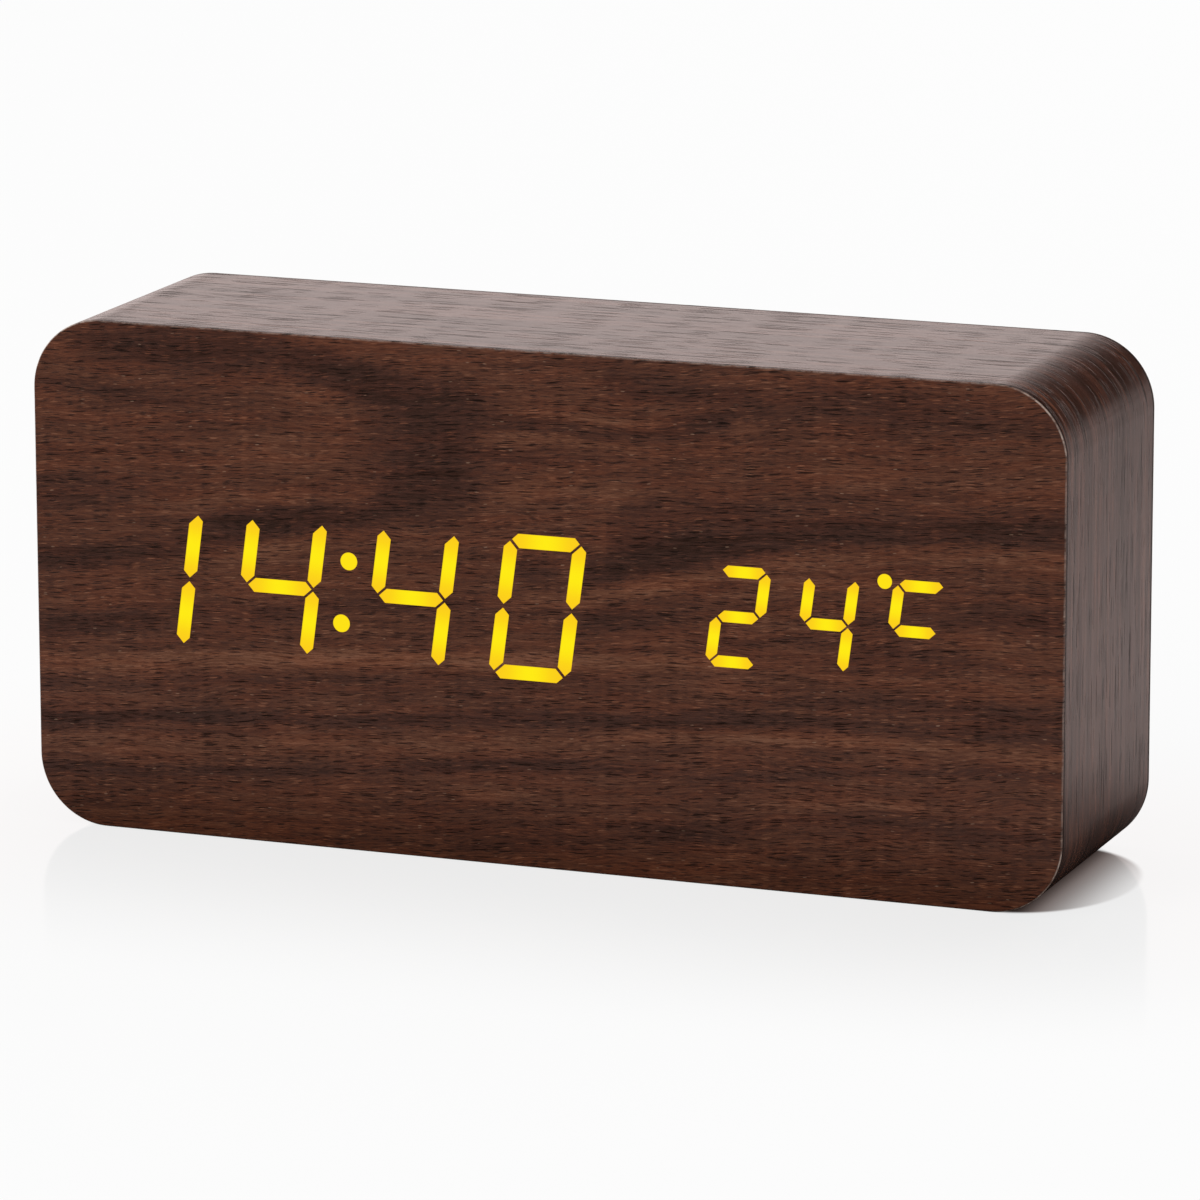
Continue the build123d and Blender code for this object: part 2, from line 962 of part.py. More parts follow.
def inlet_outline(grow=0):
    """The inlet's outline: flat on top, drawn in towards its lower side."""
    half_width = usb_width / 2 + grow
    half_height = usb_height / 2 + grow
    shoulder = -half_height * usb_shoulder_share
    foot = half_width * usb_foot_share
    return [
        (leg_x - half_width, usb_z + half_height),
        (leg_x + half_width, usb_z + half_height),
        (leg_x + half_width, usb_z + shoulder),
        (leg_x + foot, usb_z - half_height),
        (leg_x - foot, usb_z - half_height),
        (leg_x - half_width, usb_z + shoulder),
    ]


def usb_shell():
    tube = Polygon(*inlet_outline(), align=None) - Polygon(*inlet_outline(-usb_wall), align=None)
    return slab(tube, board_back_y, usb_mouth_y)


def usb_tongue():
    """The black insert: a block at the bottom of the shell and the tongue that stands on it."""
    base_y = board_back_y + usb_base_depth
    base = slab(Polygon(*inlet_outline(-usb_wall), align=None), board_back_y, base_y)
    half = tongue_width / 2
    high = usb_z + tongue_thickness
    tongue = block(leg_x - half, leg_x + half, base_y, usb_mouth_y - tongue_inset, usb_z, high)
    return base + tongue


def buzzer():
    base = board_back_y
    top = base + buzzer_height
    return turned(
        [
            (0, base),
            (buzzer_radius, base),
            (buzzer_radius, top - buzzer_edge),
            (buzzer_radius - buzzer_edge, top),
            (buzzer_mouth_radius, top),
            (buzzer_mouth_radius, top - buzzer_mouth_depth),
            (0, top - buzzer_mouth_depth),
        ],
        -leg_x,
        buzzer_z,
    )


def microphone():
    base = board_back_y
    top = base + microphone_height
    return turned(
        [
            (0, base),
            (microphone_radius, base),
            (microphone_radius, top),
            (microphone_port_radius, top),
            (microphone_port_radius, top - microphone_rim),
            (0, top - microphone_rim),
        ],
        -leg_x,
        sensor_z,
    )


def thermistor():
    """A bead on two thin legs, held up towards the vents."""
    bead_y = board_back_y + thermistor_stand
    bead = turned(
        [
            (0, bead_y - thermistor_radius),
            (thermistor_radius, bead_y),
            (0, bead_y + thermistor_radius),
        ],
        leg_x,
        sensor_z,
    )
    half = thermistor_leg_spacing / 2
    legs = [
        post(thermistor_leg_radius, leg_x + side * half, sensor_z, board_back_y, bead_y)
        for side in (-1, 1)
    ]
    return bead + legs


# Rear cover with its battery bay

def bay_outline(grow=0):
    return tile(
        bay_half_length + grow, bay_half_height + grow, bay_corner_radius + grow, z=bay_z
    )


def bay_cradles():
    """Wedges that stand between the cells on the bay floor, their slopes square to each other."""
    radius = cell_diameter / 2 + cell_clear
    height = cell_pitch / 2 + radius - radius * math.sqrt(2)
    wedges = []
    for side in (-1, 1):
        x = side * bay_half_length * cradle_place_share
        for low_z, high_z in zip(cell_zs, cell_zs[1:]):
            z = (low_z + high_z) / 2
            outline = [(bay_floor_y, z - height), (bay_floor_y + height, z), (bay_floor_y, z + height)]
            wedges.append(along_x(outline, x - cradle_thickness / 2, x + cradle_thickness / 2))
    return wedges


def contact_spans():
    """The plates at each end, as the side and the lowest and highest cell that each one meets."""
    last = cell_count - 1
    return [(1, 0, 0), (1, 1, last), (-1, 0, last - 1), (-1, last, last)]


def contact_rails():
    """Ribs on the bay's end walls that hold the contact plates by their edges."""
    rails = []
    half = contact_width / 2 + rail_gap
    for side in (-1, 1):
        taken = [(cell_zs[a] - half, cell_zs[b] + half) for s, a, b in contact_spans() if s == side]
        starts = [bay_z - bay_half_height] + [high for _, high in taken]
        ends = [low for low, _ in taken] + [bay_z + bay_half_height]
        x_low, x_high = sorted((side * bay_half_length, side * (bay_half_length - rail_reach)))
        for low, high in zip(starts, ends):
            rails.append(block(x_low, x_high, bay_floor_y, door_ledge_y, low, high))
    return rails


def is_bridge(first, last):
    return last > first


def tail_slots():
    """Slots in the bay floor for the tails of the two plates that the leads go to."""
    half = tail_width / 2 + tail_fit
    slots = []
    for side, first, last in contact_spans():
        if not is_bridge(first, last):
            x_low, x_high = sorted((side * (contact_x - tail_fit), side * (bay_half_length + tail_fit)))
            z = cell_zs[first]
            slots.append(
                block(x_low, x_high, bay_back_y - cut_over, bay_floor_y + cut_over, z - half, z + half)
            )
    return slots


def battery_bay():
    """The walls and floor that stand in from the cover, before the mouth is cut."""
    shell = slab(bay_outline(bay_wall), bay_back_y, cover_in_y)
    return shell - slab(bay_outline(), bay_floor_y, cover_in_y)


def door_opening():
    """The door's seat, square at its lower corners for the door's round lower edge."""
    gap = door_gap
    outline = tile(
        door_half_width + gap, door_half_height + gap, door_corner_radius + gap, z=bay_z
    )
    foot_z = (pivot_z + door_thickness / 2 + bay_z - door_half_height - gap) / 2
    outline += Pos(0, foot_z) * Rectangle(2 * (door_half_width + gap), door_thickness + gap)
    return slab(outline, door_ledge_y, cover_out_y + cut_over)


def pivot_sockets():
    """Blind holes in the sides of the door's opening."""
    inner = door_half_width + door_gap
    outer = door_half_width + pivot_length + hole_fit
    radius = pivot_radius + pivot_fit
    return [
        rod_along_x(radius, pivot_y, pivot_z, *sorted((side * (inner - cut_over), side * outer)))
        for side in (-1, 1)
    ]


def cover_lips():
    """Straight lips that centre the cover in the pocket. The upper ones stay clear of the buttons."""
    near = cover_in_y - lip_height
    lips = []
    x_out = pocket_half_width - lip_gap
    z_out = pocket_half_height - lip_gap
    x_reach = pocket_half_width * lip_length_share
    z_reach = pocket_half_height * lip_length_share
    bottom_z = middle_z - z_out
    top_z = middle_z + z_out
    lips.append(block(-x_reach, x_reach, near, cover_in_y, bottom_z, bottom_z + lip_thickness))
    clear_x = button_pitch + button_flange_radius + lip_gap
    for side in (-1, 1):
        low, high = sorted((side * x_out, side * (x_out - lip_thickness)))
        lips.append(block(low, high, near, cover_in_y, middle_z - z_reach, middle_z + z_reach))
        low, high = sorted((side * clear_x, side * x_reach))
        lips.append(block(low, high, near, cover_in_y, top_z - lip_thickness, top_z))
    return lips


def cover_openings():
    """Holes for the buttons, the buzzer, the microphone, the vents and the inlet."""
    near = cover_in_y - cut_over
    far = cover_out_y + cut_over
    cuts = []
    for x in button_xs:
        radius = button_radius + button_fit
        wide = radius + hole_chamfer
        cuts.append(
            turned(
                [
                    (0, near),
                    (radius, near),
                    (radius, cover_out_y - hole_chamfer),
                    (wide, cover_out_y),
                    (wide, far),
                    (0, far),
                ],
                x,
                button_z,
            )
        )
    ring = [math.tau * n / sound_ring_count for n in range(sound_ring_count)]
    holes = [(0, 0)] + [(sound_ring_radius * math.cos(a), sound_ring_radius * math.sin(a)) for a in ring]
    cuts += [post(sound_hole_radius, dx - leg_x, buzzer_z + dz, near, far) for dx, dz in holes]
    tube_end = board_back_y + microphone_height
    cuts.append(post(sound_hole_radius, -leg_x, sensor_z, tube_end, far))
    for n in range(vent_count):
        z = sensor_z + (n - (vent_count - 1) / 2) * vent_pitch
        cuts.append(slab(Pos(leg_x, z) * Rectangle(vent_length, vent_width), near, far))
    cuts.append(slab(Polygon(*inlet_outline(usb_fit), align=None), near, far))
    seat = tile(plug_seat_width / 2, plug_seat_height / 2, plug_seat_radius, leg_x, usb_z)
    cuts.append(slab(seat, cover_out_y - plug_seat_depth, far))
    return cuts


def finger_scoop():
    """A round hollow above the door, where a fingertip reaches its catch."""
    return Pos(0, cover_out_y - scoop_depth + scoop_radius, door_top_z) * Sphere(scoop_radius)


def rear_cover():
    cover = slab(rebate_outline(cover_gap), cover_in_y, cover_out_y)
    cover += battery_bay()
    cover += cover_lips()
    cover += [post(boss_radius, x, z, board_back_y, cover_in_y) for x, z in boss_places]
    tube_end = board_back_y + microphone_height + tube_gap
    cover += post(tube_radius, -leg_x, sensor_z, tube_end, cover_in_y)
    cover -= door_opening()
    cover -= slab(bay_outline(), bay_floor_y, cover_out_y)
    cover += bay_cradles()
    cover += contact_rails()
    cover -= tail_slots()
    cover -= pivot_sockets()
    cover -= cover_openings()
    cover -= finger_scoop()
    pilot = small_shank_radius + pilot_fit
    depth = board_screw_length - control_board_thickness + pilot_fit
    for x, z in boss_places:
        cover -= post(pilot, x, z, board_back_y - cut_over, board_back_y + depth)
    hole = cover_shank_radius + hole_fit
    bore = cover_head_radius + hole_fit
    for x, z in cover_screw_places:
        cover -= post(hole, x, z, cover_in_y - cut_over, cover_out_y)
        cover -= post(bore, x, z, cover_out_y - counterbore_depth, cover_out_y + cut_over)
    return cover


def cover_screw(x, z):
    """A screw with the crossed slots for its driver."""
    seat_y = cover_out_y - counterbore_depth
    body = screw(
        x, z, seat_y, 1,
        cover_head_radius, cover_head_height, cover_shank_radius, cover_screw_length,
    )
    half_long = cover_head_radius * recess_length_share / 2
    half_wide = cover_head_radius * recess_width_share / 2
    floor_y = seat_y + cover_head_height * (1 - recess_depth_share)
    across = block(x - half_long, x + half_long, floor_y, back_y, z - half_wide, z + half_wide)
    upright = block(x - half_wide, x + half_wide, floor_y, back_y, z - half_long, z + half_long)
    return body - across - upright


def cover_screws():
    return [cover_screw(x, z) for x, z in cover_screw_places]


# Battery door

def battery_door():
    """A flat door with a round lower edge, two pivots, a springy catch and inner ribs."""
    half_thick = door_thickness / 2
    upper = tile(door_half_width, door_half_height, door_corner_radius, z=bay_z)
    below_axis = Pos(0, pivot_z - door_half_height) * Rectangle(
        2 * (door_half_width + cut_over), 2 * door_half_height
    )
    door = slab(upper - below_axis, door_in_y, cover_out_y)
    door += rod_along_x(half_thick, pivot_y, pivot_z, -door_half_width, door_half_width)
    reach = door_half_width + pivot_length
    door += rod_along_x(pivot_radius, pivot_y, pivot_z, -reach, reach)
    half_latch = latch_width / 2
    for side in (-1, 1):
        low, high = sorted((side * half_latch, side * (half_latch + latch_slot)))
        door -= block(
            low, high, door_in_y - cut_over, cover_out_y + cut_over,
            door_top_z - latch_length, door_top_z + cut_over,
        )
    nose = [
        (pivot_y - latch_nose_height / 2, door_top_z - latch_nose),
        (pivot_y - latch_nose_height / 2, door_top_z + latch_nose),
        (pivot_y + latch_nose_height / 2, door_top_z),
        (pivot_y + latch_nose_height / 2, door_top_z - latch_nose),
    ]
    door += along_x(nose, -half_latch, half_latch)
    half_ridge = grip_ridge_width / 2
    for n in range(grip_ridge_count):
        z = door_top_z - grip_ridge_pitch * (n + 1)
        ridge = [
            (cover_out_y, z - grip_ridge_radius),
            (cover_out_y + grip_ridge_height, z),
            (cover_out_y, z + grip_ridge_radius),
        ]
        door += along_x(ridge, -half_ridge, half_ridge)
    rib_reach = bay_half_length - door_rib_inset
    for low_z, high_z in zip(cell_zs, cell_zs[1:]):
        z = (low_z + high_z) / 2
        half_rib = door_rib_thickness / 2
        door += block(
            -rib_reach, rib_reach, door_in_y - door_rib_height, door_in_y, z - half_rib, z + half_rib
        )
    return door


# Cells, contacts and leads

def positive_side(n):
    """The end that a cell's nub points to. Cells lie head to tail."""
    return 1 if n % 2 == 0 else -1


def battery_cell(n):
    """A cell with its raised contact, lying along X."""
    radius = cell_diameter / 2
    can = cell_length - cell_nub_height
    outline = [
        (0, 0),
        (radius, 0),
        (radius, can),
        (cell_nub_radius, can),
        (cell_nub_radius, cell_length),
        (0, cell_length),
    ]
    cell = revolve(Polygon(*outline, align=None), Axis.Y)
    side = positive_side(n)
    foot_x = side * (contact_x - contact_bump_height - cell_length)
    return Pos(foot_x, cell_y, cell_zs[n]) * Rot(0, 0, -side * 90) * cell


def battery_cells():
    return [battery_cell(n) for n in range(cell_count)]


def contact_plate(side, first, last):
    """A plate on an end wall. It has a bump where a cell's nub meets it, and may have a tail."""
    half = contact_width / 2
    low_y = bay_floor_y
    high_y = cell_y + half
    low_z = cell_zs[first] - half
    high_z = cell_zs[last] + half
    x_low, x_high = sorted((side * contact_x, side * bay_half_length))
    plate = block(x_low, x_high, low_y, high_y, low_z, high_z)
    if not is_bridge(first, last):
        half_tail = tail_width / 2
        z = cell_zs[first]
        plate += block(x_low, x_high, bay_back_y - tail_reach, low_y, z - half_tail, z + half_tail)
    for n in range(first, last + 1):
        if positive_side(n) == side:
            bump = Cone(contact_bump_radius, contact_bump_radius * contact_bump_share, contact_bump_height)
            middle_x = side * (contact_x - contact_bump_height / 2)
            plate += Pos(middle_x, cell_y, cell_zs[n]) * Rot(0, -side * 90, 0) * bump
    return plate


def contact_plates():
    return [contact_plate(*span) for span in contact_spans()]


def contact_spring(n):
    """A bowed strip whose foot is fixed to the plate and whose tip meets the cell's flat end."""
    side = -positive_side(n)
    thick = spring_thickness
    low = cell_y - spring_reach
    high = cell_y + spring_reach
    path = [
        (0, low),
        (thick, low),
        (thick, low + spring_foot),
        (spring_length, cell_y - spring_tip),
        (spring_length, cell_y + spring_tip),
        (spring_free_gap, high),
        (spring_free_gap, high - thick),
        (spring_length - thick, cell_y + spring_tip - thick),
        (spring_length - thick, cell_y - spring_tip + thick),
        (0, low + spring_foot + thick),
    ]
    outline = Polygon(*[(side * (contact_x - out), y) for out, y in path], align=None)
    foot = Pos(0, 0, cell_zs[n] - spring_width / 2) * outline
    return extrude(foot, amount=spring_width, dir=(0, 0, 1))


def contact_springs():
    return [contact_spring(n) for n in range(cell_count)]


def lead_route(side, cell):
    """A lead from a plate's tail, out past the bay and back to the control board's front."""
    y = bay_back_y - lead_back - lead_radius
    z = cell_zs[cell]
    out_x = bay_half_length + lead_out
    return [
        Vector(side * bay_half_length, y, z),
        Vector(side * out_x, y, z),
        Vector(side * (out_x + lead_shift), y, z + lead_shift),
        Vector(side * (out_x + lead_shift), board_front_y, z + lead_shift),
    ]


def bend_radii(points):
    """Each bend as wide as its two runs allow."""
    radii = []
    for before, here, after in zip(points, points[1:], points[2:]):
        run_in = here - before
        run_out = after - here
        half_turn = math.radians(run_in.get_angle(run_out)) / 2
        radii.append(lead_bend_share * min(run_in.length, run_out.length) / math.tan(half_turn))
    return radii


def battery_lead(side, cell):
    points = lead_route(side, cell)
    path = FilletPolyline(*points, radius=bend_radii(points))
    start = Plane(origin=points[0], z_dir=points[1] - points[0])
    return sweep(start * RegularPolygon(lead_radius, wire_sides), path)


NODES = {
    "front_veneer": front_veneer,
    "side_veneer_band": side_veneer_band,
    "rear_veneer": rear_veneer,
    "mdf_case": mdf_case,
    "lit_time_segments": lit_time_segments,
    "lit_colon_dots": lit_colon_dots,
    "lit_temperature_segments": lit_temperature_segments,
    "lit_unit_sign": lit_unit_sign,
    "diffuser_sheet": diffuser_sheet,
    "reflector_block": reflector_block,
    "display_board": display_board,
    "segment_leds": segment_leds,
    "display_screws": display_screws,
    "driver_chip": driver_chip,
    "segment_resistors": segment_resistors,
    "ribbon_sockets": ribbon_sockets,
    "ribbon_cable": ribbon_cable,
    "control_board": control_board,
    "board_screws": board_screws,
    "clock_chip": clock_chip,
    "clock_crystal": clock_crystal,
    "supply_capacitor": supply_capacitor,
    "switch_housings": lambda: [switch_housing(x) for x in button_xs],
    "switch_frames": lambda: [switch_frame(x) for x in button_xs],
    "usb_shell": usb_shell,
    "usb_tongue": usb_tongue,
    "buzzer": buzzer,
    "microphone": microphone,
    "thermistor": thermistor,
    "rear_cover": rear_cover,
    "cover_screws": cover_screws,
    "battery_door": battery_door,
    "battery_cells": battery_cells,
    "contact_plates": contact_plates,
    "contact_springs": contact_springs,
    "battery_lead_red": lambda: battery_lead(1, 0),
    "battery_lead_black": lambda: battery_lead(-1, cell_count - 1),
}
for key_name, key_x in zip(("down", "up", "set"), button_xs):
    NODES[f"{key_name}_button"] = lambda x=key_x: push_button(x)
    NODES[f"{key_name}_plunger"] = lambda x=key_x: switch_plunger(x)

os.makedirs("parts", exist_ok=True)
for name, build in NODES.items():
    made = build()
    export_step(group(made) if isinstance(made, list) else made, f"parts/{name}.step")

for side, cell in ((1, 0), (-1, cell_count - 1)):
    print("bend radii of a battery lead:", [round(r, 2) for r in bend_radii(lead_route(side, cell))])
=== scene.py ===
import json
import math

import bmesh
import bpy
from mathutils import Matrix, Vector
from mathutils.geometry import delaunay_2d_cdt


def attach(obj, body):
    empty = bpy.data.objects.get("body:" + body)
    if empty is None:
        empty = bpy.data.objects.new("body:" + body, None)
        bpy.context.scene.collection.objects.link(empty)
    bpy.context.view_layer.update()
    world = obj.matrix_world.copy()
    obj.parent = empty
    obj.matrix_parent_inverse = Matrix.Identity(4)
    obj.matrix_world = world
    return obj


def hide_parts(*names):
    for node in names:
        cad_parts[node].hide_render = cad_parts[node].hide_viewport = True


# The looks of a walnut desk clock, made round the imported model. Lengths are in metres. X runs along
# the front, Y from the front to the back, Z is up, and the origin is the middle of the underside.

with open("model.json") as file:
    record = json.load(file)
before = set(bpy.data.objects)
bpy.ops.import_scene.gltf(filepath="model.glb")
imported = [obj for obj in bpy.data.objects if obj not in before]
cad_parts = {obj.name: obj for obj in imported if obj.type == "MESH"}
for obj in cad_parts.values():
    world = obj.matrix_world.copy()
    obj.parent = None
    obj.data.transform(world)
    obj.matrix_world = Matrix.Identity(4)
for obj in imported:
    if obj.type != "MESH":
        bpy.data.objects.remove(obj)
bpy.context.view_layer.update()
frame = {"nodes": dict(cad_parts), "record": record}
MM = 0.001
WELD = 1e7  # corners that round to the same place at this scale are one
NUDGE = 0.01 * MM

# Camera, worked out from the edges of the block in the photograph
CAMERA_TURN = math.radians(21.107)
CAMERA_RISE = math.radians(12.78)
CAMERA_ROLL = math.radians(-0.118)
CAMERA_TARGET = Vector((0.001448, 0, 0.033556))
CAMERA_DISTANCE = 1.018704
LENS_MM = 220.8
SENSOR_MM = 36.0

# The block
WIDTH = 150 * MM
DEPTH = 40 * MM
HEIGHT = 72 * MM
CORNER_RADIUS = 10 * MM
VENEER = 0.6 * MM
SHEET_BACK = 19.4  # how far from the middle a sheet meets the band, in millimetres
EDGE_ROUND = 0.3 * MM
EDGE_STEPS = 5
CORNER_STEPS = 32
SEAM = 0.15 * MM
REBATE_HALF_WIDTH = 69 * MM
REBATE_HALF_HEIGHT = 30 * MM
REBATE_RADIUS = 5 * MM
FRONT_Y = -DEPTH / 2
BACK_Y = DEPTH / 2

# Digits: the same sizes as in the CAD model
SLANT = 0.135
LIT_DEPTH = 0.1 * MM
RIM_WIDTH = 0.16 * MM
TIME_CELLS = [(-56.7, 36.5, "bc"), (-38.1, 36.5, "bcfg"), (-18.55, 36.5, "bcfg"), (0.05, 36.5, "abcdef")]
TIME_SIZE = (12.0, 20.4, 2.0, 0.38)
TEMP_CELLS = [(29.06, 37.6, "abged"), (41.61, 37.6, "bcfg")]
UNIT_CELLS = [(54.16, 37.6, "afg")]
TEMP_SIZE = (7.8, 14.1, 1.6, 0.3)
TIP_SHARE = 0.4
COLON_DOTS = [(-28.919, 32.1, 1.25), (-27.731, 40.9, 1.25)]
DEGREE_DOT = (49.86, 44.2, 1.03)
DOT_SIDES = 40
DOT_TONE = 0.35  # the place on a bar's map that a whole dot takes its tone from

# Cells, in millimetres: their middle, their heights, and how far out the nub's tip lies
CELL_Y = 11.05
CELL_ZS = [17.1, 28.0, 38.9]
CELL_TIP = 24.5
CELL_LENGTH = 44.5
CELL_SIDES = 48
BARE = 2.0  # the map's second coordinate on a cell's bare metal
COPPER_FROM = 30.0
RING_FROM, RING_TO = 29.2, 29.6

# Other finishes: how much the spark texture tints a moulding, and half the pitch of the ribbon's wires
SPARK = 0.25
STRAND_HALF_PITCH = 0.635

# Light. Lamps have a name, a place, a size and a power.
LAMPS = [
    ("front_light", (-0.9, -1.5, 1.1), 1.4, 17.0),
    ("right_light", (1.4, -0.5, 0.5), 1.2, 1.5),
    ("top_light", (-0.3, 0.25, 1.6), 1.5, 3.0),
    ("back_light", (0.5, 1.5, 0.9), 1.4, 12.0),
]
LAMP_AIM = Vector((0, 0, 0.03))
AMBIENT = 0.42
WHITE = [1.0, 1.0, 1.0, 1.0]
WARM = [1.0, 0.85, 0.82, 1.0]
BLACK = [0.0, 0.0, 0.0, 1.0]
# What gloss sees: a bright sweep behind, up to a height that falls to the right, darkness above it, and
# less light towards the camera and to the right
GLOSS_TOP_LEFT, GLOSS_TOP_RIGHT = 0.185, -0.05
GLOSS_BACK, GLOSS_DARK, GLOSS_FRONT, GLOSS_RIGHT = 1.2, 0.0, 0.27, 0.53

# Floor: its half size in metres, then what it shows, with lengths in millimetres: the half size of the
# block's flat underside, the share and reach of the mirror image, the share of the floor's look that
# comes from the lamps, and the oval in which a painted reflection and shadow of the right side shows
FLOOR_SIZE = 6.0
FOOT_X, FOOT_Y = 66.0, 20.0
MIRROR_SHARE, MIRROR_REACH = 0.125, 72.0
LIT_SHARE = 0.1
OVAL_X, OVAL_Y, OVAL_HALF_X, OVAL_HALF_Y = 65.0, -1.2, 15.0, 19.0


def rgb(code):
    """A colour written as on a screen, in linear values."""
    parts = [int(code[k:k + 2], 16) / 255 for k in (0, 2, 4)]
    return [p / 12.92 if p <= 0.04045 else ((p + 0.055) / 1.055) ** 2.4 for p in parts] + [1.0]


# Materials

class Graph:
    """A material or a world being built. A value may be a number, a list or another node's output."""

    def __init__(self, name, kind="Material"):
        owners = bpy.data.worlds if kind == "World" else bpy.data.materials
        self.material = owners.new(name)
        self.material.use_nodes = True
        self.tree = self.material.node_tree
        self.tree.nodes.clear()
        self.output = self.tree.nodes.new("ShaderNodeOutput" + kind)

    def feed(self, socket, value):
        if isinstance(value, bpy.types.NodeSocket):
            self.tree.links.new(value, socket)
        else:
            socket.default_value = value

    def node(self, kind, inputs=None, **settings):
        node = self.tree.nodes.new("ShaderNode" + kind)
        for key, value in settings.items():
            setattr(node, key, value)
        for key, value in (inputs or {}).items():
            self.feed(node.inputs[key], value)
        return node

    def math(self, operation, *values):
        return self.node("Math", dict(enumerate(values)), operation=operation).outputs[0]

    def sway(self, value, weight, base):
        """The base, moved by a weight times how far the value lies from a half."""
        return self.math("MULTIPLY_ADD", self.math("SUBTRACT", value, 0.5), weight, base)

    def ease(self, value, low, high, out_low=0.0, out_high=1.0):
        """A smooth step from out_low, below low, to out_high, above high."""
        inputs = {"Value": value, "From Min": low, "From Max": high, "To Min": out_low, "To Max": out_high}
        return self.node("MapRange", inputs, interpolation_type="SMOOTHSTEP").outputs[0]

    def mix(self, factor, a, b, blend="MIX"):
        node = self.node("Mix", {"Factor": factor}, data_type="RGBA", blend_type=blend)
        self.feed(node.inputs[6], a)
        self.feed(node.inputs[7], b)
        return node.outputs[2]

    def ramp(self, value, stops):
        node = self.node("ValToRGB", {"Fac": value})
        elements = node.color_ramp.elements
        while len(elements) < len(stops):
            elements.new(1.0)
        for element, (place, colour) in zip(elements, stops):
            element.position = place
            element.color = rgb(colour)
        return node.outputs["Color"]

    def curve(self, value, points):
        """A smooth curve through the points. Places and heights run from 0 to 1."""
        node = self.node("FloatCurve", {"Value": value})
        curve = node.mapping.curves[0]
        while len(curve.points) < len(points):
            curve.points.new(0.5, 0.5)
        for point, place in zip(curve.points, points):
            point.location = place
        node.mapping.update()
        return node.outputs[0]

    def millimetres(self):
        """The place on the object at rest, as x, y and z in millimetres."""
        place = self.node("TexCoord").outputs["Object"]
        scaled = self.node("VectorMath", {0: place, "Scale": 1 / MM}, operation="SCALE").outputs[0]
        return self.parts(scaled)

    def parts(self, vector):
        return self.node("SeparateXYZ", {0: vector}).outputs

    def joined(self, x, y, z):
        return self.node("CombineXYZ", {0: x, 1: y, 2: z}).outputs[0]

    def noise(self, vector, scale, detail, roughness):
        inputs = {"Vector": vector, "Scale": scale, "Detail": detail, "Roughness": roughness}
        return self.node("TexNoise", inputs).outputs[0]

    def cells(self, vector):
        """Distance from the nearest of many scattered points, and that point's own random number."""
        node = self.node("TexVoronoi", {"Vector": vector, "Scale": 1.0})
        return node.outputs["Distance"], self.node("SeparateColor", {0: node.outputs["Color"]}).outputs[0]

    def bump(self, height, distance, strength):
        inputs = {"Height": height, "Distance": distance, "Strength": strength}
        return self.node("Bump", inputs).outputs[0]

    def surface(self, **inputs):
        named = {key.replace("_", " ").title().replace("Ior", "IOR"): value for key, value in inputs.items()}
        return self.finished(self.node("BsdfPrincipled", named).outputs[0])

    def blend(self, factor, a, b):
        """A mix of two shaders."""
        return self.node("MixShader", {0: factor, 1: a, 2: b}).outputs[0]

    def rays(self):
        """Whether a ray shows what the camera sees, also through clear things, and whether it is gloss."""
        kinds = self.node("LightPath").outputs
        seen = self.math("MAXIMUM", kinds["Is Camera Ray"], kinds["Is Transmission Ray"])
        return seen, kinds["Is Glossy Ray"]

    def finished(self, shader):
        self.tree.links.new(shader, self.output.inputs[0])
        return self.material


# Walnut. The figure on the front is drawn by bands of darker and lighter wood. A band has the reach of
# its soft upper and lower sides, then points of x, z, half width and strength. Lengths are in
# millimetres: X from the middle of the front, Z up from the underside.

